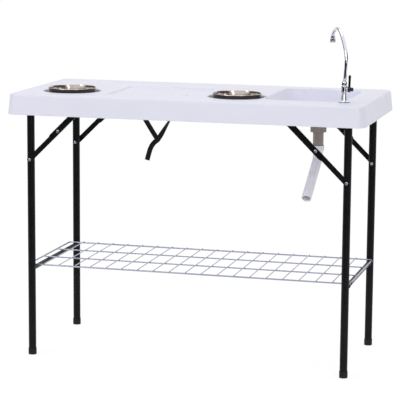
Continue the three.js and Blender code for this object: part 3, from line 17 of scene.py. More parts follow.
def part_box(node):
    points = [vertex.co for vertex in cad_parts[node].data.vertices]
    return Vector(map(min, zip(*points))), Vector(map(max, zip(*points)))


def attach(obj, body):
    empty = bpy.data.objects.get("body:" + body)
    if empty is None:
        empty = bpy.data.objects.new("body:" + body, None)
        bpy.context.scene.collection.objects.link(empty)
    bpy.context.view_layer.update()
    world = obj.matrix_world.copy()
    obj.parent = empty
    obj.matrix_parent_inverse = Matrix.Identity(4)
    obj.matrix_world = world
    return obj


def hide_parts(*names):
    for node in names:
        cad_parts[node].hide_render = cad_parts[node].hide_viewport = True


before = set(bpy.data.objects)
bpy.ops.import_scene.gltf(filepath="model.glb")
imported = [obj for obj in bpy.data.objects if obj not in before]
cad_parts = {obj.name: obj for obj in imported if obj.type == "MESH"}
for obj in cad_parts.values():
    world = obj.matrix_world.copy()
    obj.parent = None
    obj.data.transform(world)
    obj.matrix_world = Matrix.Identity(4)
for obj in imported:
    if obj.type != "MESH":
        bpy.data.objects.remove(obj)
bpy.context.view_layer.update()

X = Vector((1, 0, 0))
Y = Vector((0, 1, 0))
Z = Vector((0, 0, 1))
FULL = 2 * math.pi
QUARTER = math.pi / 2
MERGE = 1e-6  # points nearer than this are one
SEAT = 0.0003  # between pieces that touch

# How many faces round forms get, and how many steps a rounding gets
FINE = 128
ROUND = 64
SMALL = 32
WIRE = 14
ARC = 6
CORNER = 14


# Camera and light: where the photo was taken from
CAMERA_PLACE = (1.66913, -6.17479, 1.61369)
CAMERA_YAW = -0.26538
CAMERA_PITCH = 0.16492
CAMERA_ROLL = 0.00756
CAMERA_LENS = 162.8
CAMERA_SENSOR = 36.0


def make_camera():
    """The photo's camera, from its place, heading, pitch and roll."""
    flat = math.cos(CAMERA_PITCH)
    ahead = Vector(
        (math.sin(CAMERA_YAW) * flat, math.cos(CAMERA_YAW) * flat, -math.sin(CAMERA_PITCH))
    )
    level = Vector((math.cos(CAMERA_YAW), -math.sin(CAMERA_YAW), 0))
    upright = level.cross(ahead)
    cosine, sine = math.cos(CAMERA_ROLL), math.sin(CAMERA_ROLL)
    right = cosine * level + sine * upright
    up = cosine * upright - sine * level
    data = bpy.data.cameras.new("camera")
    data.lens = CAMERA_LENS
    data.sensor_width = CAMERA_SENSOR
    camera = bpy.data.objects.new("camera", data)
    matrix = Matrix((right, up, -ahead)).transposed().to_4x4()
    matrix.translation = CAMERA_PLACE
    camera.matrix_world = matrix
    bpy.context.scene.collection.objects.link(camera)
    bpy.context.scene.camera = camera


# Shapes
class Skin:
    """Gathers faces given by their points, and makes one closed mesh of them."""

    def __init__(self):
        self.points = []
        self.faces = []
        self.across = {}

    def add(self, points):
        start = len(self.points)
        self.points.extend(Vector(p) for p in points)
        return range(start, len(self.points))

    def band(self, first, second):
        """Faces between two closed runs of equally many points."""
        a, b = self.add(first), self.add(second)
        for i in range(len(a)):
            j = (i + 1) % len(a)
            self.faces.append((a[i], a[j], b[j], b[i]))

    def bands(self, rings, closed=False):
        for first, second in zip(rings, rings[1:]):
            self.band(first, second)
        if closed:
            self.band(rings[-1], rings[0])

    def web(self, *loops):
        """A level face inside the first loop, with the other loops left out."""
        ids = self.add(p for loop in loops for p in loop)
        for corners in tessellate_polygon(loops):
            self.faces.append([ids[i] for i in corners])

    def cap(self, ring):
        middle = sum(ring, Vector()) / len(ring)
        self.band(ring, [middle] * len(ring))

    def closed_loft(self, rings):
        self.bands(rings)
        self.cap(rings[0])
        self.cap(rings[-1])

    def turned(self, profile, segments=ROUND, place=Matrix(), wave=None, closed=False):
        """A form turned about the place's +Z. A profile point is (radius, height) or, where the
        wave moves it in and out, (radius, height, amount)."""
        rings = []
        for point in profile:
            amount = point[2] if len(point) > 2 and wave else 0
            ring = []
            for i in range(segments):
                angle = FULL * i / segments
                radius = point[0] + (amount * wave(angle) if amount else 0)
                spot = Vector((radius * math.cos(angle), radius * math.sin(angle), point[1]))
                ring.append(place @ spot)
            rings.append(ring)
        self.bands(rings, closed)

    def plate(self, loops, thickness, edge, place=Matrix(), steps=3):
        """A flat plate from z = 0 up, with rounded edges. The first loop is its outline and the
        others are holes, all anticlockwise."""
        caps = {0: [], 1: []}
        for number, loop in enumerate(loops):
            inwards = 1 if number == 0 else -1
            rings = []
            for end in (0, 1):
                for step in range(steps + 1):
                    turn = QUARTER * (step if end == 0 else steps - step) / steps
                    drawn = inwards * edge * (1 - math.sin(turn))
                    rise = edge * (1 - math.cos(turn))
                    level = rise if end == 0 else thickness - rise
                    rings.append([Vector((x, y, level)) for x, y in offset(loop, drawn)])
            caps[0].append(rings[0])
            caps[1].append(rings[-1])
            self.bands([[place @ p for p in ring] for ring in rings])
        for flat in caps.values():
            ids = self.add(place @ p for loop in flat for p in loop)
            for corners in tessellate_polygon(flat):
                self.faces.append([ids[i] for i in corners])

    def make(self, name):
        name = name.replace(" ", "_")
        mesh = bpy.data.meshes.new(name)
        mesh.from_pydata(self.points, [], self.faces)
        work = bmesh.new()
        work.from_mesh(mesh)
        bmesh.ops.remove_doubles(work, verts=work.verts, dist=MERGE)
        bmesh.ops.recalc_face_normals(work, faces=work.faces)
        work.to_mesh(mesh)
        work.free()
        made = bpy.data.objects.new(name, mesh)
        bpy.context.scene.collection.objects.link(made)
        return made


def offset(loop, amount):
    """A closed flat run of points, drawn inwards by an amount."""
    moved = []
    for i, (x, y) in enumerate(loop):
        here = Vector((x, y))
        into = (here - Vector(loop[i - 1][:2])).normalized()
        out = (Vector(loop[(i + 1) % len(loop)][:2]) - here).normalized()
        along = into + out
        along.normalize()
        inwards = Vector((-along.y, along.x))
        lean = max(0.5, inwards.dot(Vector((-out.y, out.x))))
        moved.append(tuple(here + inwards * amount / lean))
    return moved


def rounded(corners, closed=True, steps=ARC):
    """The points of a run whose corners, given as (x, y, radius), are rounded."""
    points = []
    count = len(corners)
    for i, corner in enumerate(corners):
        here = Vector(corner[:2])
        radius = corner[2] if len(corner) > 2 else 0
        if not radius or (not closed and i in (0, count - 1)):
            points.append(tuple(here))
            continue
        back = Vector(corners[i - 1][:2]) - here
        ahead = Vector(corners[(i + 1) % count][:2]) - here
        half = back.angle(ahead) / 2
        room = 0.49 * min(back.length, ahead.length)
        reach = min(radius / math.tan(half), room)
        centre = here + (back.normalized() + ahead.normalized()).normalized() * (
            reach / math.cos(half)
        )
        start = here + back.normalized() * reach - centre
        end = here + ahead.normalized() * reach - centre
        turn = start.angle(end)
        for step in range(steps + 1):
            share = step / steps
            spot = start * math.sin((1 - share) * turn) + end * math.sin(share * turn)
            points.append(tuple(centre + spot / math.sin(turn)))
    return points


def circle(radius, x=0.0, y=0.0, segments=SMALL):
    turns = [FULL * i / segments for i in range(segments)]
    return [(x + radius * math.cos(a), y + radius * math.sin(a)) for a in turns]


def stadium(length, radius, start=0.0, steps=CORNER):
    """A bar with round ends whose end circles stand a length apart along X."""
    points = []
    for middle, first in ((start + length, -QUARTER), (start, QUARTER)):
        for step in range(steps + 1):
            angle = first + math.pi * step / steps
            points.append((middle + radius * math.cos(angle), radius * math.sin(angle)))
    return points


def level_loop(loop, level):
    return [Vector((x, y, level)) for x, y in loop]


def quarter(steps):
    """Sine and cosine from the start of a quarter round to its end."""
    turns = [QUARTER * step / steps for step in range(steps + 1)]
    return [(math.sin(turn), math.cos(turn)) for turn in turns]


def smooth_run(points, steps):
    """Points along a smooth curve through the given ones."""
    ends = [2 * points[0] - points[1], *points, 2 * points[-1] - points[-2]]
    run = []
    for before, start, end, after in zip(ends, ends[1:], ends[2:], ends[3:]):
        first, middle, last = (
            max(math.sqrt((b - a).length), MERGE)
            for a, b in ((before, start), (start, end), (end, after))
        )
        leave = (start - before) / first - (end - before) / (first + middle)
        leave = (leave + (end - start) / middle) * middle
        arrive = (end - start) / middle - (after - start) / (middle + last)
        arrive = (arrive + (after - end) / last) * middle
        for step in range(steps):
            s = step / steps
            run.append(
                start * (2 * s**3 - 3 * s**2 + 1)
                + leave * (s**3 - 2 * s**2 + s)
                + end * (3 * s**2 - 2 * s**3)
                + arrive * (s**3 - s**2)
            )
    run.append(points[-1].copy())
    return run


def frames_along(points, closed=False, start=Z):
    """For each point of a run: the point, the run's heading and two ways across it."""
    count = len(points)
    made = []
    side = None
    for i, point in enumerate(points):
        before = points[i - 1] if closed or i else point
        after = points[(i + 1) % count] if closed or i + 1 < count else point
        along = (after - before).normalized()
        if side is None:
            side = along.cross(start)
            side = side.normalized() if side.length > 0.1 else along.orthogonal().normalized()
        else:
            side = made[-1][1].rotation_difference(along) @ side
        side = (side - along * side.dot(along)).normalized()
        made.append((point, along, side, side.cross(along)))
    return made


def ring_at(place, radius, segments):
    point, _, side, up = place
    turns = [FULL * i / segments for i in range(segments)]
    return [point + radius * (side * math.cos(a) + up * math.sin(a)) for a in turns]


def wire(skin, points, radius, segments=WIRE, closed=False, edge=0.3):
    """A round wire along a run of points, with rounded ends unless it is closed."""
    rings = [ring_at(place, radius, segments) for place in frames_along(points, closed)]
    if closed:
        skin.bands(rings, True)
        return
    for end, inner in ((0, 1), (-1, -2)):
        way = (points[end] - points[inner]).normalized() * radius * edge
        middle = points[end]
        tip = [middle + (p - middle) * (1 - edge) for p in rings[end]]
        rings[end] = [p - way for p in rings[end]]
        rings.insert(0 if end == 0 else len(rings), tip)
    skin.closed_loft(rings)


def aimed(way, origin):
    """A matrix that turns +Z to a way and puts the origin at a point."""
    return Matrix.Translation(origin) @ Z.rotation_difference(way).to_matrix().to_4x4()


def held(origin, x_axis, z_axis):
    """A matrix with the given X and Z and its origin at a point."""
    matrix = Matrix((x_axis, z_axis.cross(x_axis), z_axis)).transposed().to_4x4()
    matrix.translation = origin
    return matrix


def middle_of(node):
    low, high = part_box(node)
    return (low + high) / 2


def between(start, end, share):
    return start + (end - start) * share


def standing(node, level=0.0):
    """A matrix that puts the origin above or below the middle of a node, at a level."""
    return Matrix.Translation((*middle_of(node).xy, level))


def lying(node, sign=1):
    """A matrix that turns +Z to the back, or to the front with a sign of -1, through a node."""
    middle = middle_of(node)
    return aimed(Y * sign, (middle.x, 0, middle.z))


def turned_piece(name, profile, place, segments=ROUND, wave=None, closed=False):
    """A turned form as a piece of its own."""
    skin = Skin()
    skin.turned(profile, segments, place, wave, closed)
    return skin.make(name)


def dress(piece, body, slot, *nodes, sharp=32, finish=None):
    """Gives a piece its shading and body, its slot's finish or its own, and hides the nodes that it stands
    for."""
    mesh = piece.data
    mesh.polygons.foreach_set("use_smooth", [True] * len(mesh.polygons))
    mesh.set_sharp_from_angle(angle=math.radians(sharp))
    weighted = piece.modifiers.new("even shading", "WEIGHTED_NORMAL")
    weighted.keep_sharp = True
    weighted.mode = "FACE_AREA"
    mesh.materials.clear()
    mesh.materials.append(finish or finishes[slot])
    if nodes:
        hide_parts(*nodes)
    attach(piece, body)


# Finishes
RANGE_SOCKETS = ("From Min", "From Max", "To Min", "To Max")
TRAY_TOLERANCE = 0.0001  # how near the tray's floor a knife mark lies
# Painted shade: a bowl's metal is coloured dark where its surface faces down, standing in for the shade
# and dark reflection below its rim
BOWL_PAINTED_SHADE = (-0.12, -0.02)  # a bowl's metal is dark where its surface faces down


def linear(code):
    """A web colour as linear light."""
    parts = [int(code[i : i + 2], 16) / 255 for i in (0, 2, 4)]
    return (*(p / 12.92 if p <= 0.04045 else ((p + 0.055) / 1.055) ** 2.4 for p in parts), 1)


class Finish:
    """A material built up from a base finish, patterns and relief."""

    def __init__(self, name, roughness, metallic=0.0, **constants):
        self.material = bpy.data.materials.new(name)
        self.material.use_nodes = True
        self.nodes = self.material.node_tree.nodes
        self.links = self.material.node_tree.links
        self.shader = self.nodes["Principled BSDF"]
        self.shader.inputs["Roughness"].default_value = roughness
        self.shader.inputs["Metallic"].default_value = metallic
        for socket, value in constants.items():
            self.shader.inputs[socket.replace("_", " ")].default_value = value
        self.relief = None
        place = self.nodes.new("ShaderNodeTexCoord")
        self.own = place.outputs["Object"]
        self.facing = place.outputs["Normal"]
        self.within = place.outputs["Generated"]
        self.flat = place.outputs["UV"]

    def scaled(self, coordinates, scale):
        mapping = self.nodes.new("ShaderNodeMapping")
        mapping.inputs["Scale"].default_value = scale
        self.links.new(coordinates, mapping.inputs["Vector"])
        return mapping.outputs["Vector"]

    def noise(self, scale, detail=3, stretch=None):
        texture = self.nodes.new("ShaderNodeTexNoise")
        texture.inputs["Scale"].default_value = scale
        texture.inputs["Detail"].default_value = detail
        source = self.scaled(self.own, stretch) if stretch else self.own
        self.links.new(source, texture.inputs["Vector"])
        return texture.outputs["Fac"]

    def cells(self, scale):
        texture = self.nodes.new("ShaderNodeTexVoronoi")
        texture.inputs["Scale"].default_value = scale
        self.links.new(self.own, texture.inputs["Vector"])
        return texture.outputs["Distance"]

    def ranged(self, value, low, high, start=0.3, end=0.7):
        """A value between start and end, brought to low and high."""
        node = self.nodes.new("ShaderNodeMapRange")
        for socket, number in zip(RANGE_SOCKETS, (start, end, low, high)):
            node.inputs[socket].default_value = number
        self.links.new(value, node.inputs["Value"])
        return node.outputs["Result"]

    def math(self, operation, first, second=0.0):
        node = self.nodes.new("ShaderNodeMath")
        node.operation = operation
        for socket, value in zip(node.inputs, (first, second)):
            if isinstance(value, (int, float)):
                socket.default_value = value
            else:
                self.links.new(value, socket)
        return node.outputs["Value"]

    def part(self, coordinates, axis):
        node = self.nodes.new("ShaderNodeSeparateXYZ")
        self.links.new(coordinates, node.inputs["Vector"])
        return node.outputs[axis]

    def colours(self, first, second, share):
        mix = self.nodes.new("ShaderNodeMix")
        mix.data_type = "RGBA"
        a, b, result = mix.inputs[6], mix.inputs[7], mix.outputs[2]
        for socket, value in ((a, first), (b, second)):
            if isinstance(value, str):
                socket.default_value = linear(value)
            else:
                self.links.new(value, socket)
        self.links.new(share, mix.inputs[0])
        return result

    def coloured(self, value):
        if isinstance(value, str):
            self.shader.inputs["Base Color"].default_value = linear(value)
        else:
            self.links.new(value, self.shader.inputs["Base Color"])

    def tinted(self, first, second, pattern):
        """Colours the finish between two colours, by a pattern."""
        self.coloured(self.colours(first, second, self.ranged(pattern, 0, 1)))

    def rough(self, pattern, low, high):
        self.links.new(self.ranged(pattern, low, high), self.shader.inputs["Roughness"])

    def raised(self, height, depth, strength=1.0):
        """Adds relief of a depth in metres on top of what is there."""
        bump = self.nodes.new("ShaderNodeBump")
        bump.inputs["Distance"].default_value = depth
        bump.inputs["Strength"].default_value = strength
        self.links.new(height, bump.inputs["Height"])
        if self.relief:
            self.links.new(self.relief, bump.inputs["Normal"])
        self.relief = bump.outputs["Normal"]
        self.links.new(self.relief, self.shader.inputs["Normal"])


def moulded_plastic(name, pale, shade, gloss=0.42):
    """Blow-moulded polyethylene: a fine pebbled skin, faint clouding and slow waves."""
    finish = Finish(name, gloss, Specular_IOR_Level=0.4)
    clouds = finish.noise(7, 4)
    finish.tinted(shade, pale, clouds)
    finish.rough(finish.noise(45, 3), gloss - 0.06, gloss + 0.07)
    finish.raised(finish.noise(6, 2), 0.0012, 0.25)
    finish.raised(finish.cells(900), 0.00006, 0.35)
    return finish


def top_plastic():
    """The top's plastic, with knife marks on the floor of the cutting tray."""
    finish = moulded_plastic("top plastic", "e2e2f0", "dfdfed")
    marks = None
    for stretch in ((9, 700, 1), (500, 60, 1)):
        lines = finish.ranged(finish.noise(1, 2, stretch), 0, 1, 0.62, 0.68)
        marks = lines if marks is None else finish.math("MAXIMUM", marks, lines)
    level = finish.part(finish.own, "Z")
    below = finish.math("LESS_THAN", level, TRAY_FLOOR + TRAY_TOLERANCE)
    above = finish.math("GREATER_THAN", level, TRAY_FLOOR - TRAY_TOLERANCE)
    marks = finish.math("MULTIPLY", marks, finish.math("MULTIPLY", below, above))
    finish.raised(finish.math("SUBTRACT", 0.0, marks), 0.00015, 0.5)
    return finish.material


def powder_coat():
    """Black powder coat on steel: orange peel, and a little dust in the sheen."""
    finish = Finish("black steel", 0.34, Specular_IOR_Level=0.14)
    finish.tinted("0a0a0c", "121215", finish.noise(24, 4))
    finish.rough(finish.noise(60, 3), 0.28, 0.4)
    finish.raised(finish.noise(1500, 2), 0.00003, 0.5)
    finish.raised(finish.noise(240, 2), 0.00004, 0.3)
    return finish.material


def zinc_plate():
    """Bright zinc with the blue and straw tints of its passivation."""
    finish = Finish("zinc steel", 0.3, 1.0)
    tint = finish.colours("9fabc4", "b9b4bf", finish.ranged(finish.noise(38, 3), 0, 1))
    grime = finish.ranged(finish.noise(150, 4), 0, 0.5, 0.55, 0.75)
    finish.coloured(finish.colours(tint, "5c5f6c", grime))
    finish.rough(finish.noise(90, 3), 0.22, 0.42)
    finish.raised(finish.noise(1100, 3), 0.00003, 0.5)
    return finish.material


def spun_steel():
    """Polished steel with the fine rings that spinning leaves, about the piece's own middle. Faces turned
    down are coloured dark as painted shade and reflection.
    """
    finish = Finish("bowl steel", 0.12, 1.0, Anisotropic=0.3)
    across = finish.math("SUBTRACT", finish.part(finish.within, "X"), 0.5)
    along = finish.math("SUBTRACT", finish.part(finish.within, "Y"), 0.5)
    squares = [finish.math("MULTIPLY", way, way) for way in (across, along)]
    radius = finish.math("SQRT", finish.math("ADD", *squares))
    rings = finish.nodes.new("ShaderNodeTexNoise")
    rings.noise_dimensions = "1D"
    rings.inputs["Scale"].default_value = 260
    rings.inputs["Detail"].default_value = 3
    finish.links.new(radius, rings.inputs["W"])
    smears = finish.noise(30, 4)
    inside = finish.colours("b5aaa3", "cfc8c3", finish.ranged(smears, 0, 1))
    # Painted shade and reflection: where a face turns down, the colour goes to a dark brown
    painted_shade_below = finish.ranged(finish.part(finish.facing, "Z"), 1, 0, *BOWL_PAINTED_SHADE)
    finish.coloured(finish.colours(inside, "38322f", painted_shade_below))
    finish.rough(smears, 0.07, 0.16)
    finish.raised(rings.outputs["Fac"], 0.00003, 0.5)
    return finish.material


def chrome_plate(name, pale, shade):
    finish = Finish(name, 0.05, 1.0)
    smears = finish.noise(90, 4)
    finish.tinted(shade, pale, smears)
    finish.rough(smears, 0.03, 0.1)
    finish.raised(finish.noise(160, 2), 0.00002, 0.3)
    return finish.material


def drain_plastic(name, pale, shade):
    """Moulded pipe plastic: faint flow marks along the pipe and a satin skin."""
    finish = Finish(name, 0.42, Specular_IOR_Level=0.45)
    flow = finish.noise(1, 4, (60, 60, 9))
    finish.tinted(shade, pale, flow)
    finish.rough(finish.noise(80, 3), 0.36, 0.5)
    finish.raised(finish.noise(900, 2), 0.00003, 0.4)
    finish.raised(flow, 0.0002, 0.25)
    return finish.material


def moulded_black(name, gloss, pale, shade, grain):
    finish = Finish(name, gloss, Specular_IOR_Level=0.35)
    finish.tinted(shade, pale, finish.noise(70, 4))
    finish.rough(finish.noise(110, 3), gloss - 0.08, gloss + 0.08)
    finish.raised(finish.cells(grain), 0.00008, 0.5)
    return finish.material


def woven():
    """Webbing: a herringbone weave across the strap's width, which its flat map follows."""
    finish = Finish("webbing", 0.85, Specular_IOR_Level=0.25, Sheen_Weight=0.15)
    along = finish.part(finish.flat, "X")
    across = finish.part(finish.flat, "Y")
    folded = finish.math("PINGPONG", across, WEAVE_CHEVRON)
    slanted = finish.math("ADD", along, folded)
    ribs = finish.math("SINE", finish.math("MULTIPLY", slanted, FULL / WEAVE_PITCH))
    warp = finish.math("SINE", finish.math("MULTIPLY", across, FULL / WARP_PITCH))
    height = finish.math("ADD", ribs, finish.math("MULTIPLY", warp, 0.6))
    fuzz = finish.noise(1800, 3)
    finish.coloured(finish.colours("070708", "141416", finish.ranged(height, 0, 1, -1.4, 1.4)))
    finish.rough(fuzz, 0.75, 0.95)
    finish.raised(finish.ranged(height, 0, 1, -1.6, 1.6), 0.0003, 0.8)
    finish.raised(fuzz, 0.00008, 0.5)
    return finish.material


# World, floor and lamps
AMBIENT = 0.76
# What shiny metal sees: dark at both sides up to a height, and a dark floor in front
FLAG_SIDES = (0.62, 0.86, 1.0, 0.08)
FLAG_TOP = (0.3, 0.6, 0.0, 1.0)
FLOOR_DARK = 0.03
FLOOR_FADE = (-1.5, -1.1)
FLOOR_HALF = 40.0
FLOOR_WHITE = 0.94
FLOOR_GLOW = 0.86
FLOOR_SHADOW = 0.2
# A softbox is its place, its width, its height and its power
SOFTBOXES = (
    ((-2.6, -3.6, 3.2), 1.0, 2.2, 30.0), ((3.4, -4.4, 3.0), 1.0, 2.2, 16.0),
    ((2.7, -4.2, 0.95), 0.35, 1.7, 12.0), ((-0.2, 0.4, 4.2), 2.6, 1.6, 22.0),
)
AIM = (0.0, 0.0, 0.7)


def linked(tree, kind, *sources, **settings):
    """A new node with its settings, its first sockets fed by the sources that aren't None."""
    made = tree.nodes.new(kind)
    for name, value in settings.items():
        setattr(made, name, value)
    for socket, source in zip(made.inputs, sources):
        if source is not None:
            tree.links.new(source, socket)
    return made


def make_world():
    """White all round for the eye. Shiny metal sees a dark flag at either side."""
    world = bpy.data.worlds.new("studio")
    world.use_nodes = True
    bpy.context.scene.world = world
    tree = world.node_tree
    tree.nodes.clear()
    way = linked(tree, "ShaderNodeTexCoord").outputs["Generated"]
    parts = linked(tree, "ShaderNodeSeparateXYZ", way).outputs
    sideways = linked(tree, "ShaderNodeMath", parts["X"], operation="ABSOLUTE").outputs[0]
    ramps = []
    for source, numbers in ((sideways, FLAG_SIDES), (parts["Z"], FLAG_TOP)):
        ramp = linked(tree, "ShaderNodeMapRange", source, interpolation_type="SMOOTHSTEP")
        for socket, value in zip(RANGE_SOCKETS, numbers):
            ramp.inputs[socket].default_value = value
        ramps.append(ramp.outputs["Result"])
    bright = linked(tree, "ShaderNodeMath", *ramps, operation="MAXIMUM").outputs[0]
    skies = []
    for strength, source in ((AMBIENT, None), (1.0, None), (1.0, bright)):
        sky = linked(tree, "ShaderNodeBackground", None, source)
        sky.inputs["Color"].default_value = (1, 1, 1, 1)
        sky.inputs["Strength"].default_value = strength
        skies.append(sky.outputs[0])
    ambient, seen, mirrored = skies
    ray = linked(tree, "ShaderNodeLightPath").outputs
    through = (ray["Is Camera Ray"], ray["Is Transmission Ray"])
    clear = linked(tree, "ShaderNodeMath", *through, operation="MAXIMUM").outputs[0]
    mix = "ShaderNodeMixShader"
    shiny = linked(tree, mix, ray["Is Glossy Ray"], ambient, mirrored).outputs[0]
    final = linked(tree, mix, clear, shiny, seen).outputs[0]
    linked(tree, "ShaderNodeOutputWorld", final)


def make_floor():
    """A white floor. The eye and shiny metal see it glow, less the shadow that lies on it, but
    metal sees its front as dark."""
    skin = Skin()
    corners = [(-1, -1), (1, -1), (1, 1), (-1, 1)]
    skin.web([Vector((x * FLOOR_HALF, y * FLOOR_HALF, 0)) for x, y in corners])
    floor = skin.make("floor")
    if floor.data.polygons[0].normal.z < 0:
        floor.data.flip_normals()
    finish = Finish("floor", 0.9, Specular_IOR_Level=0.0)
    finish.shader.inputs["Base Color"].default_value = (*([FLOOR_WHITE] * 3), 1)
    tree = finish.material.node_tree
    diffuse = finish.shader.outputs[0]
    ray = linked(tree, "ShaderNodeLightPath").outputs
    seen = finish.math("MAXIMUM", ray["Is Camera Ray"], ray["Is Glossy Ray"])
    seen = finish.math("MAXIMUM", seen, ray["Is Transmission Ray"])
    near = finish.ranged(finish.part(finish.own, "Y"), FLOOR_DARK, 1.0, *FLOOR_FADE)
    plain = finish.math("SUBTRACT", 1.0, ray["Is Glossy Ray"])
    lit = finish.math("MAXIMUM", plain, near)
    strength = finish.math("MULTIPLY", lit, FLOOR_GLOW)
    glow = linked(tree, "ShaderNodeEmission", None, strength).outputs[0]
    share = finish.math("MULTIPLY", lit, FLOOR_SHADOW)
    shadowed = linked(tree, "ShaderNodeMixShader", share, None, diffuse).outputs[0]
    both = linked(tree, "ShaderNodeAddShader", glow, shadowed).outputs[0]
    final = linked(tree, "ShaderNodeMixShader", seen, diffuse, both).outputs[0]
    tree.links.new(final, tree.nodes["Material Output"].inputs["Surface"])
    floor.data.materials.append(finish.material)


def make_lamps():
    for number, (place, width, height, power) in enumerate(SOFTBOXES):
        data = bpy.data.lights.new(f"softbox {number}", "AREA")
        data.shape = "RECTANGLE"
        data.size = width
        data.size_y = height
        data.energy = power
        lamp = bpy.data.objects.new(f"softbox {number}", data)
        lamp.location = place
        way = Vector(AIM) - Vector(place)
        lamp.rotation_euler = way.to_track_quat("-Z", "Y").to_euler()
        bpy.context.scene.collection.objects.link(lamp)


# Table top
END_X, EDGE_Y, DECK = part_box("table_top")[1]
SKIRT_DEPTH = 0.072
SKIRT_WALL = 0.012
SKIRT_DRAFT = 0.0065
SLAB = 0.015
TOP_CORNER = 0.038
TOP_EDGE = 0.008
HEM = 0.0025
INNER_EDGE = 0.0012
SKIRT_BOTTOM = DECK - SKIRT_DEPTH
UNDERSIDE = DECK - SLAB

SINK_DEPTH = 0.084
SINK_WALL = 0.005
SINK_LIP = 0.006
SINK_FILLET = 0.016
SINK_FLOOR = DECK - SINK_DEPTH
FILLET_STEPS = 10
LIP_STEPS = 8
WELL_DEPTH = 0.056
WELL_RADIUS = 0.100
WELL_FLOOR_RADIUS = 0.080
WELL_WALL = 0.0035
WELL_LIP = 0.005
WELL_FILLET = 0.009
TRAY_DEPTH = 0.006
TRAY_LIP = 0.002
TRAY_FILLET = 0.0025
TRAY_FLOOR = DECK - TRAY_DEPTH
HOLE_EDGE = 0.0008
TRAY_HOLE_RADIUS = 0.0085
PEG_HOLE_RADIUS = 0.007
PEG_HOLE_DEPTH = 0.009
PEG_HOLE_CHAMFER = 0.001
SHANK_HOLE = 0.0103
SEAT_DEPTH = 0.0023

# Tack-offs: the dimples that join a blow-moulded slab's two skins
TACK_PITCH = 0.068
TACK_RADIUS = 0.011
TACK_FOOT = 0.006
TACK_DEPTH = 0.005
TACK_MARGIN = 0.022
TACK_GAP = 0.006
TACK_SEGMENTS = 20
TACK_FROM_SIDE = 0.07
TACK_FROM_END = 0.06
TACK_LEAST_FROM_END = 0.05
FAUCET_FOOT = 0.019
STAPLE_REACH = 0.016

Area = namedtuple("Area", "left right front back corner")
TOP_AREA = Area(-END_X, END_X, -EDGE_Y, EDGE_Y, TOP_CORNER)
SINK_AREA = Area(0.254, 0.535, -0.168, 0.232, 0.055)
SINK_SLOPE = (0.040, 0.009, 0.028)
TRAY_AREA = Area(-0.300, 0.018, -0.196, 0.106, 0.026)
TRAY_SLOPE = (0.004, 0.004, 0.004)
TRAY_HOLE = (-0.038, -0.081)
PEG_HOLE = (-0.334, 0.048)
KNIFE_SLOT = (-0.151, -0.168)
KNIFE_SLOT_LENGTH = 0.054
KNIFE_SLOT_WIDTH = 0.015
drain_middle = middle_of("drain_strainer")
faucet_middle = middle_of("faucet_base")
well_middles = [middle_of("bowl_left"), middle_of("bowl_right")]


def rim(area, level, grow=0.0, steps=CORNER):
    """A rounded rectangle at a level, grown outwards by an amount."""
    radius = area.corner + grow
    left, right = area.left - grow + radius, area.right + grow - radius
    front, back = area.front - grow + radius, area.back + grow - radius
    corners = ((right, front, -QUARTER), (right, back, 0), (left, back, QUARTER), (left, front, math.pi))
    return [
        Vector((x + radius * math.cos(start + turn), y + radius * math.sin(start + turn), level))
        for x, y, start in corners
        for turn in (QUARTER * step / steps for step in range(steps + 1))
    ]


def drawn_in(level):
    """How far the skirt's drafted face leans in at a level."""
    hem_top = SKIRT_BOTTOM + HEM
    return SKIRT_DRAFT * (level - hem_top) / (DECK - TOP_EDGE - hem_top)


def sloped(area, slope, share):
    """An area drawn in by a share of its walls' slopes: left, right, and front and back."""
    left, right, ends = (amount * share for amount in slope)
    return Area(
        area.left + left, area.right - right, area.front + ends, area.back - ends, area.corner
    )


def recess_rings(area, slope, depth, lip, fillet, grow=0.0):
    """A moulded recess from its floor up to the deck."""
    floor = DECK - depth - grow
    wall = DECK - lip - floor
    rings = []
    for sine, cosine in quarter(FILLET_STEPS):
        above = fillet * (1 - cosine)
        drawn = sloped(area, slope, 1 - above / wall)
        rings.append(rim(drawn, floor + above, grow - fillet * (1 - sine)))
    for sine, cosine in quarter(LIP_STEPS):
        rings.append(rim(area, DECK - lip * (1 - sine), grow + lip * (1 - cosine)))
    return rings


def well_profile(grow):
    """A bowl well's radius and height from its floor up to the deck."""
    floor = DECK - WELL_DEPTH - grow
    run = DECK - WELL_LIP - floor
    points = []
    for sine, cosine in quarter(LIP_STEPS):
        above = WELL_FILLET * (1 - cosine)
        radius = between(WELL_FLOOR_RADIUS, WELL_RADIUS, above / run)
        points.append((radius + grow - WELL_FILLET * (1 - sine), floor + above))
    for sine, cosine in quarter(LIP_STEPS):
        points.append((WELL_RADIUS + grow + WELL_LIP * (1 - cosine), DECK - WELL_LIP * (1 - sine)))
    return points


def cut_below(profile, level):
    """The part of a rising profile below a level, ended on it."""
    kept = [point for point in profile if point[1] < level]
    (r0, z0), (r1, z1) = kept[-1], profile[len(kept)]
    kept.append((between(r0, r1, (level - z0) / (z1 - z0)), level))
    return kept


def rings_of(profile, x, y, segments=FINE):
    return [level_loop(circle(r, x, y, segments), z) for r, z in profile]


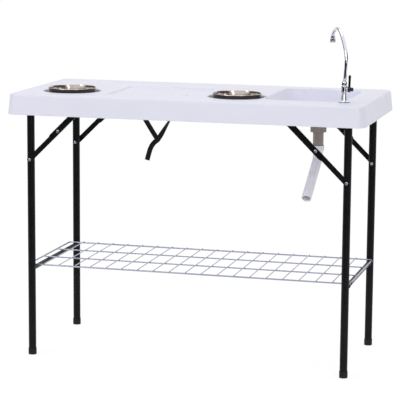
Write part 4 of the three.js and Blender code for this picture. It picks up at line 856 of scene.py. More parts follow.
def tack_places():
    """Where the slab's underside has its dimples: a staggered grid clear of everything else."""
    busy = [(*middle.xy, WELL_RADIUS + WELL_WALL) for middle in well_middles]
    busy += [(*TRAY_HOLE, TRAY_HOLE_RADIUS), (*PEG_HOLE, PEG_HOLE_RADIUS)]
    busy += [(*faucet_middle.xy, FAUCET_FOOT), (*KNIFE_SLOT, KNIFE_SLOT_LENGTH / 2)]
    busy += [(*middle_of(f"strap_staple_{side}").xy, STAPLE_REACH) for side in ("left", "right")]
    rows = int(2 * (EDGE_Y - TACK_FROM_SIDE) / TACK_PITCH)
    columns = int(2 * (END_X - TACK_FROM_END) / TACK_PITCH)
    margin = TACK_RADIUS + TACK_MARGIN
    reach = TACK_RADIUS + TACK_GAP
    places = []
    for row in range(rows + 1):
        y = (row - rows / 2) * TACK_PITCH
        stagger = 0.25 + 0.5 * (row % 2)
        for column in range(columns):
            x = (column - columns / 2 + stagger) * TACK_PITCH
            over_sink = (
                SINK_AREA.left - margin <= x <= SINK_AREA.right + margin
                and SINK_AREA.front - margin <= y <= SINK_AREA.back + margin
            )
            clear = all(math.dist((x, y), (bx, by)) > radius + reach for bx, by, radius in busy)
            if clear and not over_sink and abs(x) < END_X - TACK_LEAST_FROM_END:
                places.append((x, y))
    return places


def through_hole(skin, loop, top, bottom):
    """The wall of a hole with rounded rims. Returns its loops in the upper and lower faces."""
    rings = []
    for sine, cosine in quarter(4):
        rim_loop = offset(loop, -HOLE_EDGE * (1 - sine))
        rings.append(level_loop(rim_loop, bottom + HOLE_EDGE * (1 - cosine)))
    for sine, cosine in reversed(quarter(4)):
        rim_loop = offset(loop, -HOLE_EDGE * (1 - sine))
        rings.append(level_loop(rim_loop, top - HOLE_EDGE * (1 - cosine)))
    skin.bands(rings)
    return rings[-1], rings[0]


# Each of these adds one feature of the top, and returns its loops in the deck and the underside
def skirt(skin):
    """The inside wall, the hem, the drafted face and the rounded edge, up to the deck."""
    inner = SKIRT_WALL + drawn_in(UNDERSIDE)
    foot_in = SKIRT_WALL + drawn_in(SKIRT_BOTTOM)
    rings = []
    for sine, cosine in quarter(4):
        grow = -inner - INNER_EDGE * (1 - sine)
        rings.append(rim(TOP_AREA, UNDERSIDE - INNER_EDGE * (1 - cosine), grow))
    for sine, cosine in reversed(quarter(4)):
        grow = INNER_EDGE * (1 - sine) - foot_in
        rings.append(rim(TOP_AREA, SKIRT_BOTTOM + INNER_EDGE * (1 - cosine), grow))
    for sine, cosine in quarter(6):
        rings.append(rim(TOP_AREA, SKIRT_BOTTOM + HEM * (1 - cosine), -HEM * (1 - sine)))
    for sine, cosine in quarter(12):
        grow = -SKIRT_DRAFT - TOP_EDGE * (1 - cosine)
        rings.append(rim(TOP_AREA, DECK - TOP_EDGE * (1 - sine), grow))
    skin.bands(rings)
    return [rings[-1]], [rings[0]]


def sink(skin):
    """The basin inside and outside, and the stepped seat of its strainer."""
    shape = (SINK_AREA, SINK_SLOPE, SINK_DEPTH, SINK_LIP, SINK_FILLET)
    inside = recess_rings(*shape)
    skin.bands(inside)
    outer_floor = SINK_FLOOR - SINK_WALL
    outer_wall = DECK - SINK_LIP - outer_floor
    outside = recess_rings(*shape, SINK_WALL)[: FILLET_STEPS + 1]
    share = 1 - (UNDERSIDE - outer_floor) / outer_wall
    outside.append(rim(sloped(SINK_AREA, SINK_SLOPE, share), UNDERSIDE, SINK_WALL))
    skin.bands(outside)
    low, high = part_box("drain_strainer")
    radius = (high.x - low.x) / 2 + SEAT
    step = SINK_FLOOR - SEAT_DEPTH
    seat = [(radius + HOLE_EDGE, SINK_FLOOR), (radius + 0.3 * HOLE_EDGE, SINK_FLOOR - 0.3 * HOLE_EDGE)]
    seat += [(radius, SINK_FLOOR - HOLE_EDGE), (radius, step)]
    seat += [(CUP_RADIUS + SEAT, step), (CUP_RADIUS + SEAT, outer_floor)]
    rings = rings_of(seat, *drain_middle.xy)
    skin.bands(rings)
    skin.web(inside[0], rings[0])
    skin.web(outside[0], rings[-1])
    return [inside[-1]], [outside[-1]]


def wells(skin):
    deck, under = [], []
    for middle in well_middles:
        inside = rings_of(well_profile(0), *middle.xy)
        outside = rings_of(cut_below(well_profile(WELL_WALL), UNDERSIDE), *middle.xy)
        for rings, loops in ((inside, deck), (outside, under)):
            skin.bands(rings)
            skin.cap(rings[0])
            loops.append(rings[-1])
    return deck, under


def tray(skin):
    """The cutting tray with its knife slot and its drain hole."""
    rings = recess_rings(TRAY_AREA, TRAY_SLOPE, TRAY_DEPTH, TRAY_LIP, TRAY_FILLET)
    skin.bands(rings)
    slot_x, slot_y = KNIFE_SLOT
    run = KNIFE_SLOT_LENGTH - KNIFE_SLOT_WIDTH
    slot = [(slot_x + x, slot_y + y) for x, y in stadium(run, KNIFE_SLOT_WIDTH / 2, -run / 2)]
    upper, lower = [], []
    for loop in (slot, circle(TRAY_HOLE_RADIUS, *TRAY_HOLE)):
        above, below = through_hole(skin, loop, TRAY_FLOOR, UNDERSIDE)
        upper.append(above)
        lower.append(below)
    skin.web(rings[0], *upper)
    return [rings[-1]], lower


def shank_hole(skin):
    upper, lower = through_hole(skin, circle(SHANK_HOLE, *faucet_middle.xy), DECK, UNDERSIDE)
    return [upper], [lower]


def peg_hole(skin):
    """A blind hole in the deck."""
    floor = DECK - PEG_HOLE_DEPTH
    profile = [(PEG_HOLE_RADIUS - PEG_HOLE_CHAMFER, floor)]
    profile.append((PEG_HOLE_RADIUS, floor + PEG_HOLE_CHAMFER))
    for sine, cosine in reversed(quarter(4)):
        profile.append((PEG_HOLE_RADIUS + HOLE_EDGE * (1 - sine), DECK - HOLE_EDGE * (1 - cosine)))
    rings = rings_of(profile, *PEG_HOLE, SMALL)
    skin.bands(rings)
    skin.cap(rings[0])
    return [rings[-1]], []


def dimples(skin):
    profile = [
        (TACK_FOOT * 0.7, UNDERSIDE + TACK_DEPTH), (TACK_FOOT, UNDERSIDE + TACK_DEPTH * 0.9),
        (TACK_RADIUS * 0.9, UNDERSIDE + TACK_DEPTH * 0.15), (TACK_RADIUS, UNDERSIDE),
    ]
    under = []
    for place in tack_places():
        rings = rings_of(profile, *place, TACK_SEGMENTS)
        skin.bands(rings)
        skin.cap(rings[0])
        under.append(rings[-1])
    return [], under


def table_top():
    """The moulded top: its skirt first, then all that the deck and the underside go round."""
    skin = Skin()
    deck, under = [], []
    for feature in (skirt, sink, wells, tray, shank_hole, peg_hole, dimples):
        upper, lower = feature(skin)
        deck += upper
        under += lower
    skin.web(*deck)
    skin.web(*under)
    dress(skin.make("moulded top"), "top", "top_plastic", "table_top", "sink_shell", sharp=50)


# Bowls
BOWL_BASE = 0.054
BOWL_MOUTH = 0.0835
BOWL_WALL = 0.0013
BOWL_BEAD = 0.002
BEAD_STEPS = 14
BOWL_FOOT_RING = 0.0006
BASE_STEP = (BOWL_BASE * 0.8, BOWL_BASE * 0.86)
BOWL_SHARES = ((0, 0), (0.3, 0.035), (0.62, 0.2), (0.86, 0.5), (1, 1))


def tangent(run, i):
    """The heading of a run at one of its points."""
    return (run[min(i + 1, len(run) - 1)] - run[max(i - 1, 0)]).normalized()


def bowl(name):
    """A pressed bowl with a rolled rim and a shallow step in its base."""
    low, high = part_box(name)
    height = high.z - low.z
    wall_top = height - 2 * BOWL_BEAD
    outside = smooth_run(
        [Vector((between(BOWL_BASE, BOWL_MOUTH, out), wall_top * up, 0)) for out, up in BOWL_SHARES],
        10,
    )
    inside = []
    for i, point in enumerate(outside):
        along = tangent(outside, i)
        inside.append(point + Vector((-along.y, along.x, 0)) * BOWL_WALL)
    bead = []
    for step in range(BEAD_STEPS + 1):
        angle = -QUARTER + (math.pi + QUARTER) * step / BEAD_STEPS
        out = BOWL_MOUTH + BOWL_BEAD * (0.7 + math.cos(angle))
        bead.append((out, height - BOWL_BEAD * (1 - math.sin(angle))))
    ring = BOWL_FOOT_RING
    step_in, step_out = BASE_STEP
    profile = [(0, ring), (step_in, ring), (step_out, 0), *((p.x, p.y) for p in outside), *bead]
    profile += [*((p.x, p.y) for p in reversed(inside)), (step_out, BOWL_WALL)]
    profile += [(step_in, BOWL_WALL + ring), (0, BOWL_WALL + ring)]
    made = turned_piece(f"{name} steel", profile, standing(name, low.z), FINE + SMALL)
    dress(made, name, "bowl_steel", name, sharp=60)


# Leg frames
LEG_WALL = 0.0012
BAR_WALL = 0.0012
TUBE_EDGE = 0.0005
WELD = 0.0016
WELD_STEPS = 72
# A ripple is its share of the bead's size, its count round the tube and its start
WELD_RIPPLES = ((0.16, 23, 0), (0.1, 7, 1))
SOLE_HOLLOW = 0.0008
SOLE_ROUND = 0.0015
FOOT_FLOOR = 0.003
FOOT_FLARE = 0.008
FOOT_NECK = 0.0147
FOOT_TOP_ROUND = 0.0007
FOOT_BORE_ROUND = 0.0004
GROOVE = 0.0005
GROOVES = 4
SIDES = (("left", 1), ("right", -1))
ROWS = (("front", -1), ("rear", 1))
leg_low, leg_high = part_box("left_front_leg")
LEG_RADIUS = (leg_high.x - leg_low.x) / 2
LEG_SPREAD = -(leg_low.y + leg_high.y) / 2
# How far from the middle of the table each layer of a brace lies
LINK_PLANE = LEG_SPREAD + LEG_RADIUS + SEAT
LINK_THICKNESS = 0.0025
RIVET_PLANE = LINK_PLANE + LINK_THICKNESS + SEAT
LEG_RIVET_HEAD = 0.0055
LEG_RIVET_HEIGHT = 0.0022
CHANNEL_PLANE = RIVET_PLANE + LEG_RIVET_HEIGHT + 0.0004
CHANNEL_SHEET = 0.002
CHANNEL_DEPTH = 0.0073
STUD_PLANE = CHANNEL_PLANE + CHANNEL_SHEET + SEAT
RAIL_PLANE = CHANNEL_PLANE + CHANNEL_DEPTH + 0.0013
RAIL_SHEET = 0.002
RIVET_SHANK = 0.003
MID_RIVET_HEAD = 0.006
MID_RIVET_HEIGHT = 0.0024
PIN_NECK = 0.005
PIN_HEAD = 0.008


def pipe_profile(outer, inner, low, high):
    corners = ((inner, low), (outer, low), (outer, high), (inner, high))
    return rounded([(*corner, TUBE_EDGE) for corner in corners], steps=3)


def leg(side, row):
    node = f"{side}_{row}_leg"
    low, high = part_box(node)
    profile = pipe_profile(LEG_RADIUS, LEG_RADIUS - LEG_WALL, low.z, high.z)
    made = turned_piece(f"{node} tube", profile, standing(node), closed=True)
    dress(made, f"{side}_legs", "black_steel", node)


def foot(side, row):
    """A rubber cap with gripping grooves round it and a chamfered sole."""
    node = f"{side}_{row}_foot"
    low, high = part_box(node)
    radius = (high.x - low.x) / 2
    height = high.z - low.z
    bore = LEG_RADIUS + SEAT
    sole = [(radius * 0.6, 0), (radius, 0, SOLE_ROUND), (radius, FOOT_FLARE)]
    profile = [(0, SOLE_HOLLOW), (radius * 0.5, SOLE_HOLLOW), (radius * 0.53, 0)]
    profile += rounded(sole, False)[1:]
    for i in range(GROOVES):
        share = (i + 0.6) / GROOVES
        level = between(FOOT_FLARE, height, share)
        out = between(radius, FOOT_NECK, share)
        for inwards, up in ((0, -2), (1, -1), (1, 1), (0, 2)):
            profile.append((out - inwards * GROOVE, level + up * GROOVE))
    cup = [
        (FOOT_NECK, height - 0.001), (FOOT_NECK, height, FOOT_TOP_ROUND),
        (bore, height, FOOT_BORE_ROUND), (bore, FOOT_FLOOR, FOOT_BORE_ROUND), (0, FOOT_FLOOR),
    ]
    profile += rounded(cup, False, 3)
    made = turned_piece(f"{side} {row} rubber foot", profile, standing(node, low.z))
    dress(made, f"{side}_legs", "foot_rubber", node)


def weld_bead(skin, centre, sign, tube, size):
    """The bead where a cross tube's end meets a leg, with a welder's ripples."""
    run = []
    sizes = []
    for i in range(WELD_STEPS):
        angle = FULL * i / WELD_STEPS
        x = tube * math.cos(angle)
        reach = math.sqrt(max(LEG_RADIUS**2 - x * x, 0))
        run.append(centre + Vector((x, -sign * reach, tube * math.sin(angle))))
        ripple = sum(share * math.sin(angle * count + start) for share, count, start in WELD_RIPPLES)
        sizes.append(size * (1 + ripple))
    rings = [ring_at(place, amount, 10) for place, amount in zip(frames_along(run, True), sizes)]
    skin.bands(rings, True)


def cross_tube(side, node):
    """A tube welded between a frame's two legs."""
    low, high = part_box(node)
    middle = middle_of(node)
    radius = (high.z - low.z) / 2
    end = LEG_SPREAD - LEG_RADIUS * 0.4
    skin = Skin()
    skin.turned(pipe_profile(radius, radius - BAR_WALL, -end, end), ROUND, lying(node), closed=True)
    tube = min(radius, LEG_RADIUS * 0.96)
    for _, sign in ROWS:
        weld_bead(skin, Vector((middle.x, sign * LEG_SPREAD, middle.z)), sign, tube, WELD)
    dress(skin.make(f"{node} tube"), f"{side}_legs", "black_steel", node)


def pivot_pin(side, row, sign):
    """A headed pin through the rail, its head's end dimpled by the riveting."""
    node = f"{side}_{row}_pivot_pin"
    low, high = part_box(node)
    end = max(abs(low.y), abs(high.y))
    radius = (high.x - low.x) / 2
    shoulder = RAIL_PLANE - SEAT
    head = RAIL_PLANE + RAIL_SHEET + SEAT
    shape = [(0, LINK_PLANE), (radius, LINK_PLANE, 0.0004), (radius, shoulder, 0.0008)]
    shape += [(PIN_NECK, shoulder), (PIN_NECK, head), (PIN_HEAD, head, 0.0003)]
    shape += [(PIN_HEAD - 0.0002, head + 0.0012, 0.0008), (0.0052, end, 0.0009)]
    shape += [(0.0024, end, 0.0002), (0.0018, end - 0.0006, 0.0002), (0, end - 0.0007)]
    made = turned_piece(f"{node} turned", rounded(shape, False, 4), lying(node, sign), SMALL + WIRE)
    dress(made, f"{side}_legs", "zinc_steel", node)


def dome(radius, height, start):
    """The profile of a domed rivet head from its rim to its middle."""
    steps = 8
    points = [(radius * 0.94, start), (radius, start + height * 0.12)]
    for step in range(1, steps + 1):
        turn = QUARTER * step / steps
        points.append((radius * math.cos(turn), start + height * (0.25 + 0.75 * math.sin(turn))))
    return points


def leg_rivet(side, row, sign):
    """The rivet that carries the lower link, and its head on the inner side of the leg."""
    node = f"{side}_{row}_leg_rivet"
    body = f"{side}_legs"
    profile = [(0, LINK_PLANE), (RIVET_SHANK, LINK_PLANE), (RIVET_SHANK, RIVET_PLANE)]
    profile += dome(LEG_RIVET_HEAD, LEG_RIVET_HEIGHT, RIVET_PLANE)
    made = turned_piece(f"{node} turned", profile, lying(node, sign), SMALL)
    dress(made, body, "zinc_steel", node)
    seat = LEG_RADIUS - LEG_SPREAD
    profile = [(0, seat - LEG_RIVET_HEIGHT), *dome(LEG_RIVET_HEAD, LEG_RIVET_HEIGHT, seat)]
    made = turned_piece(f"{node} inner head", profile, lying(node, -sign), SMALL)
    dress(made, body, "zinc_steel")


# Braces
BRACE_DROP = 0.196
BRACE_REACH = 0.207
BRACE_RISE = 0.008
LOWER_LINK = 0.1505
LINK_HALF = 0.0092
CHANNEL_HALF = 0.0105
CHANNEL_TAIL = 0.042
CHANNEL_FLAT = CHANNEL_SHEET * 1.06
CHANNEL_RAMP = 0.0035
CHANNEL_END_STEPS = 9
STUD_HOLE = 0.0043
SLOT_FROM_PIVOT = 0.028
SLOT_LENGTH = 0.013
SLOT_WIDTH = 0.005
CUTTER_PAST = 0.004
SHEET_EDGE = 0.0004
BEND = 0.0016
WASHER_RADIUS = 0.005


def channel_ring(x, half, height):
    """A channel's cross-section at a distance along it, open towards +Z."""
    inner = half - min(CHANNEL_SHEET, half * 0.6)
    edge = min(0.0004, (height - CHANNEL_SHEET) * 0.3 + 0.0001)
    fillet = min(0.0008, (height - CHANNEL_SHEET) * 0.4 + 0.00005)
    bend = min(BEND, half * 0.5, CHANNEL_SHEET * 0.8)
    floor = CHANNEL_SHEET * 0.999
    right = [(half, 0, bend), (half, height, edge), (inner, height, edge), (inner, floor, fillet)]
    left = [(-across, up, radius) for across, up, radius in reversed(right)]
    return [Vector((x, across, up)) for across, up in rounded(right + left, steps=4)]


def channel_link(upper_length):
    """The upper link: a pressed channel with rounded ends, two holes and a slot."""
    flange_end = upper_length + CHANNEL_TAIL - CHANNEL_HALF
    halfway = between(CHANNEL_FLAT, CHANNEL_DEPTH, 0.75)
    stations = []
    for step in range(CHANNEL_END_STEPS):
        turn = QUARTER * (step + 0.35) / (CHANNEL_END_STEPS + 0.35)
        half = CHANNEL_HALF * math.sin(turn)
        stations.append((-CHANNEL_HALF * math.cos(turn), half, CHANNEL_FLAT))
    stations.append((0, CHANNEL_HALF, CHANNEL_FLAT))
    stations.append((CHANNEL_RAMP * 0.5, CHANNEL_HALF, halfway))
    stations.append((CHANNEL_RAMP, CHANNEL_HALF, CHANNEL_DEPTH))
    stations += [(flange_end - x, half, height) for x, half, height in reversed(stations)]
    body = Skin()
    body.closed_loft([channel_ring(*station) for station in stations])
    slot_start = upper_length + SLOT_FROM_PIVOT - SLOT_LENGTH / 2 + SLOT_WIDTH / 2
    slot = stadium(SLOT_LENGTH - SLOT_WIDTH, SLOT_WIDTH / 2, slot_start)
    cutters = Skin()
    for loop in (circle(STUD_HOLE), circle(RIVET_SHANK + SEAT, upper_length), slot):
        levels = (-CUTTER_PAST, CHANNEL_SHEET + CUTTER_PAST)
        cutters.closed_loft([level_loop(loop, level) for level in levels])
    return body, cutters


def cut(name, body, cutters, place):
    """One mesh less another, put in its place."""
    whole, tools = body.make(name), cutters.make("cutters")
    less = whole.modifiers.new("holes", "BOOLEAN")
    less.operation = "DIFFERENCE"
    less.solver = "EXACT"
    less.object = tools
    made = bpy.data.meshes.new_from_object(
        whole.evaluated_get(bpy.context.evaluated_depsgraph_get())
    )
    whole.modifiers.clear()
    whole.data = made
    made.transform(place)
    bpy.data.objects.remove(tools)
    return whole


def brace(side, row, inward, sign):
    """The two links of a brace and the rivet that joins them."""
    pivot = middle_of(f"{side}_{row}_pivot_pin")
    foot_end = Vector((pivot.x, 0, pivot.z - BRACE_DROP))
    stud = Vector((pivot.x + inward * BRACE_REACH, 0, pivot.z + BRACE_RISE))
    along = (stud - foot_end).normalized()
    upper_length = (stud - foot_end).length - LOWER_LINK
    outward = Y * sign
    lower = Skin()
    bore = RIVET_SHANK + SEAT
    loops = [stadium(LOWER_LINK, LINK_HALF), circle(bore), circle(bore, LOWER_LINK)]
    place = held(foot_end + outward * LINK_PLANE, along, outward)
    lower.plate(loops, LINK_THICKNESS, SHEET_EDGE, place)
    made = lower.make(f"{side} {row} lower brace bar")
    dress(made, f"{side}_lower_braces", "black_steel", f"{side}_{row}_lower_link")
    body = f"{side}_upper_braces"
    place = held(stud + outward * CHANNEL_PLANE, -along, outward)
    channel = cut(f"{side} {row} upper brace channel", *channel_link(upper_length), place)
    dress(channel, body, "black_steel", f"{side}_{row}_upper_link", sharp=40)
    seat = CHANNEL_PLANE - SEAT
    profile = [(0, RIVET_PLANE), (WASHER_RADIUS - 0.0004, RIVET_PLANE)]
    profile += [(WASHER_RADIUS, RIVET_PLANE + 0.0004), (WASHER_RADIUS, seat), (RIVET_SHANK, seat)]
    profile += [(RIVET_SHANK, STUD_PLANE), *dome(MID_RIVET_HEAD, MID_RIVET_HEIGHT, STUD_PLANE)]
    place = aimed(outward, stud - along * upper_length)
    made = turned_piece(f"{side} {row} middle rivet", profile, place, SMALL)
    dress(made, body, "zinc_steel", f"{side}_{row}_brace_rivet")


# Rails
RAIL_BELOW_PIVOT = 0.012
RAIL_ABOVE_HEM = 0.0012
STEP_BEFORE_STUD = 0.018
STEP_RUN = 0.024
LOBE_HALF = 0.013
LOBE_SLOPE = 0.008
PIN_HOLE = 0.0053
STUD_RADIUS = 0.004
STUD_COLLAR = 0.0065
SCREW_RADIUS = 0.0036
SCREW_HEIGHT = 0.0019
SCREW_PLACES = (-0.585, -0.46, -0.2, 0.06, 0.29, 0.47, 0.585)


def pan_screw(skin, place, radius=SCREW_RADIUS, height=SCREW_HEIGHT):
    """A pan-head screw with a cross recess, its head towards the place's +Z."""
    head = [(0, -0.0005), (radius, -0.0005), (radius, height, height * 0.7), (0, height)]
    skin.turned(rounded(head, False), SMALL, place)
    for turn in (0, QUARTER):
        at = place @ Matrix.Translation((0, 0, height)) @ Matrix.Rotation(turn, 4, "Z")
        loop = stadium(radius * 0.9, radius * 0.13, -radius * 0.45, 4)
        skin.plate([loop], radius * 0.06, radius * 0.02, at, 1)


def rail_section(x, bottom, top, inner, reach, sign):
    """The rail's cross-section at a place along it: an upright web and an outward flange."""
    outer = inner + RAIL_SHEET
    under = top - RAIL_SHEET
    web = [(inner, bottom, SHEET_EDGE), (outer, bottom, SHEET_EDGE), (outer, under, 0.001)]
    flange = [(reach, under, SHEET_EDGE), (reach, top, SHEET_EDGE), (inner, top, 0.0026)]
    return [Vector((x, sign * y, z)) for y, z in rounded(web + flange, steps=4)]


def rail(row, sign):
    """A pressed side plate that drops round the pins, with the two brace studs and its screws."""
    node = f"{row}_rail"
    low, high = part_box(node)
    inner = RAIL_PLANE
    outer = inner + RAIL_SHEET
    reach = max(abs(low.y), abs(high.y))
    pins = {side: f"{side}_{row}_pivot_pin" for side, _ in SIDES}
    pivots = {side: middle_of(pin) for side, pin in pins.items()}
    lobe_x = pivots["right"].x
    left_bottom = pivots["left"].z - RAIL_BELOW_PIVOT
    right_bottom = pivots["right"].z - RAIL_BELOW_PIVOT
    raised = SKIRT_BOTTOM + RAIL_ABOVE_HEM
    step_x = lobe_x - BRACE_REACH - STEP_BEFORE_STUD
    stations = (
        (low.x, left_bottom), (step_x - STEP_RUN, left_bottom), (step_x, raised),
        (lobe_x - LOBE_HALF - LOBE_SLOPE, raised), (lobe_x - LOBE_HALF, right_bottom),
        (lobe_x + LOBE_HALF, right_bottom), (lobe_x + LOBE_HALF + LOBE_SLOPE, raised),
        (high.x, raised),
    )
    body = Skin()
    body.closed_loft([rail_section(x, bottom, high.z, inner, reach, sign) for x, bottom in stations])
    cutters = Skin()
    past = 0.003
    hole = [(0, inner - past), (PIN_HOLE, inner - past), (PIN_HOLE, outer + past), (0, outer + past)]
    for pin in pins.values():
        cutters.turned(hole, SMALL, lying(pin, sign))
    plate = cut(f"{row} rail plate", body, cutters, Matrix())
    dress(plate, "top", "black_steel", node)
    rail_details(row, sign, pivots, (outer + reach) / 2, high.z - RAIL_SHEET)


def rail_details(row, sign, pivots, flange_middle, flange_level):
    """The two brace studs, and the screws under the flange."""
    details = Skin()
    seat = RAIL_PLANE + SHEET_EDGE
    shape = [(0, CHANNEL_PLANE), (STUD_RADIUS, CHANNEL_PLANE, 0.0006), (STUD_RADIUS, STUD_PLANE)]
    shape += [(STUD_COLLAR, STUD_PLANE, 0.0004), (STUD_COLLAR, seat, 0.0002), (0, seat)]
    stud = rounded(shape, False)
    for side, inward in SIDES:
        pivot = pivots[side]
        spot = (pivot.x + inward * BRACE_REACH, 0, pivot.z + BRACE_RISE)
        details.turned(stud, SMALL, aimed(Y * sign, spot))
    for x in SCREW_PLACES:
        pan_screw(details, aimed(-Z, (x, sign * flange_middle, flange_level)))
    dress(details.make(f"{row} rail studs and screws"), "top", "zinc_steel")


# Shelf
FRAME_WIRE = 0.0028
LONG_WIRE = 0.0024
CROSS_WIRE = 0.0019
CROSS_WIRES = 19
SHELF_CORNER = 0.009
WELD_DEPTH = 0.0007
WIRE_OVERHANG = 0.0022
NUGGET_STEPS = 6
NUGGET_SEGMENTS = 12


def nugget(skin, point, long_radius, radius):
    """The squeezed metal where two wires are welded across each other."""
    turns = [-QUARTER + math.pi * step / NUGGET_STEPS for step in range(NUGGET_STEPS + 1)]
    profile = [(long_radius * math.cos(turn), radius * math.sin(turn)) for turn in turns]
    skin.turned(profile, NUGGET_SEGMENTS, Matrix.Translation(point))


def straight_wire(skin, start, end, radius):
    start, end = Vector(start), Vector(end)
    wire(skin, [start, (start + end) / 2, end], radius)


def wire_shelf():
    """A frame of thick wire, two wires along it and thin ones welded across them."""
    low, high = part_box("wire_shelf")
    half = high.x - FRAME_WIRE
    half_width = high.y - FRAME_WIRE
    level = low.z + FRAME_WIRE
    skin = Skin()
    area = Area(-half, half, -half_width, half_width, SHELF_CORNER)
    wire(skin, rim(area, level, 0, 6), FRAME_WIRE, 18, True)
    rows = (-half_width / 3, half_width / 3)
    for y in rows:
        straight_wire(skin, (-half, y, level), (half, y, level), LONG_WIRE)
        for x in (-half, half):
            nugget(skin, Vector((x, y, level)), FRAME_WIRE * 1.25, FRAME_WIRE * 1.1)
    lift = level + FRAME_WIRE + CROSS_WIRE - WELD_DEPTH
    pitch = 2 * half / (CROSS_WIRES + 1)
    end = half_width + WIRE_OVERHANG
    crossed = [(-half_width, FRAME_WIRE), (half_width, FRAME_WIRE), *((y, LONG_WIRE) for y in rows)]
    for i in range(1, CROSS_WIRES + 1):
        x = i * pitch - half
        straight_wire(skin, (x, -end, lift), (x, end, lift), CROSS_WIRE)
        for y, size in crossed:
            nugget(skin, Vector((x, y, level + size * 0.85)), size * 1.15, size * 0.55)
    dress(skin.make("welded wire shelf"), "shelf", "zinc_steel", "wire_shelf", sharp=50)


# Shelf clips
CLIP_WALL = 0.002
CLIP_HORN = 0.003
CLIP_LOWER = math.radians(-70)
CLIP_UPPER = math.radians(45)
CLIP_EAR = math.radians(35)
CLIP_STEPS = 12
BAR_RADIUS = 0.008
SHELF_OVERHANG = 0.011


def arc(radius, first, last):
    """Points round the origin from one angle to another."""
    turns = [between(first, last, step / CLIP_STEPS) for step in range(CLIP_STEPS + 1)]
    return [(radius * math.cos(turn), radius * math.sin(turn)) for turn in turns]


def clip_outline(wire_level):
    """Round the bar from below, up under the shelf's frame and over its outer side."""
    inner = BAR_RADIUS + SEAT
    outer = inner + CLIP_WALL
    floor = wire_level - FRAME_WIRE - SEAT
    side = SHELF_OVERHANG + FRAME_WIRE + SEAT
    top = wire_level + CLIP_HORN
    points = arc(inner, CLIP_LOWER, CLIP_UPPER)
    points += [(inner * math.cos(CLIP_UPPER), floor), (side, floor), (side, top)]
    points += [(side + CLIP_WALL, top), (side + CLIP_WALL, outer * math.sin(CLIP_EAR))]
    points += arc(outer, CLIP_EAR, CLIP_LOWER)
    return points[::-1]


def shelf_clip(row):
    node = f"shelf_clip_{row}"
    low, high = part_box(node)
    bar = middle_of("right_shelf_bar")
    wire_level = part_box("wire_shelf")[0].z + FRAME_WIRE - bar.z
    place = held(Vector((bar.x, high.y, bar.z)), X, -Y)
    skin = Skin()
    skin.plate([clip_outline(wire_level)], high.y - low.y, 0.0003, place)
    dress(skin.make(f"{row} shelf clip moulding"), "shelf_clips", "clip_plastic", node)


# Faucet
SPOUT_RADIUS = 0.0062
SPOUT_REACH = 0.133
SPOUT_LEAN = 0.015
SPOUT_RISE = 0.1855
SPOUT_DROP = 0.027
SPOUT_TURN = math.radians(119.4)
COLLAR_HEIGHT = 0.013
COLLAR_FOOT = 0.0576
COLLAR_RIBS = 30
BOSS_LEVEL = 0.0443
AERATOR_RIBS = 24
SCREEN_REACH = 0.0069
SCREEN_PITCH = 0.0012
SCREEN_WIRE = 0.0002
SCREEN_LEVELS = (-0.0212, -0.02155)
LEVER_FOOT = 0.01705
LEVER_HEIGHT = 0.048
LEVER_WIDTHS = (0.0066, 0.0076)
LEVER_THICKNESS = 0.0084
LEVER_LEAN = 0.001
NUT_REACH = 0.017
NUT_BORE = 0.0103
HOSE_RIBS = 24
# The gooseneck's middle line, as shares of its lean, its reach and its rise
SPOUT_SHARES = (
    (-0.3, 0, 0.13), (-0.6, 0, 0.26), (-0.88, 0, 0.38), (-0.9, 0, 0.49), (-0.52, 0, 0.6),
    (0, 0.045, 0.715), (0, 0.19, 0.83), (0, 0.375, 0.94), (0, 0.57, 1), (0, 0.79, 0.98),
    (0, 0.95, 0.92),
)
# The lever's sections, as shares of its height, its girth and its lean
LEVER_SHARES = (
    (0.1, 1, 0), (0.3, 0.9, 0.15), (0.5, 0.86, 0.4), (0.72, 0.93, 0.7), (0.9, 1, 0.9),
    (0.96, 0.94, 0.96), (0.99, 0.78, 0.99), (1, 0.5, 1),
)
# Where the faucet stands, where its handle's boss starts, and which way its gooseneck points
faucet_place = standing("faucet_base", DECK)
boss_place = faucet_place @ Matrix.Translation((0, 0, BOSS_LEVEL))
handle_place = boss_place @ aimed(X, (0, 0, 0))
spout_place = faucet_place @ Matrix.Rotation(SPOUT_TURN, 4, "Z")


def millimetres(*points):
    """A run given in millimetres, in metres."""
    return [tuple(value / 1000 for value in point) for point in points]


def outline(*points, steps=3, closed=False):
    """A run of radius, height and rounding, given in millimetres."""
    return rounded(millimetres(*points), closed, steps)


def ribbed(count):
    """A wave of so many ribs round a form."""
    return lambda angle: math.cos(count * angle)


def threads(radius, low, high, pitch, depth):
    """The ridges of a thread, from its low end to its high end."""
    points = []
    for i in range(int((high - low) / pitch)):
        level = low + pitch * i
        points += [(radius - depth, level), (radius, level + pitch * 0.5)]
    return points


def pedestal():
    """The base with its threaded shank, and the rubber washer under it."""
    shank = threads(0.010, -0.038, -0.0155, 0.0014, 0.0005)
    body = outline(
        (9.5, -15.4), (9.5, 1.4), (18.9, 1.4, 0.2), (18.9, 2.4, 0.4), (17.1, 3.4, 1.0),
        (12.0, 4.0, 1.5), (10.4, 6.4, 2.0), (9.1, 27.2, 0.2), (8.8, 27.6, 0.2),
        (8.8, 28.6, 0.2), (9.2, 29.0, 0.2), (9.2, 31, 0.4), (0, 31), steps=5,
    )
    made = turned_piece("faucet pedestal", [(0, -0.038), *shank, *body], faucet_place)
    dress(made, "top", "faucet_chrome", "faucet_base")
    ring = outline((10.2, 0.02), (19, 0.02), (19, 1.3), (10.2, 1.3), steps=1, closed=True)
    made = turned_piece("faucet washer", ring, faucet_place, closed=True)
    dress(made, "top", "foot_rubber")


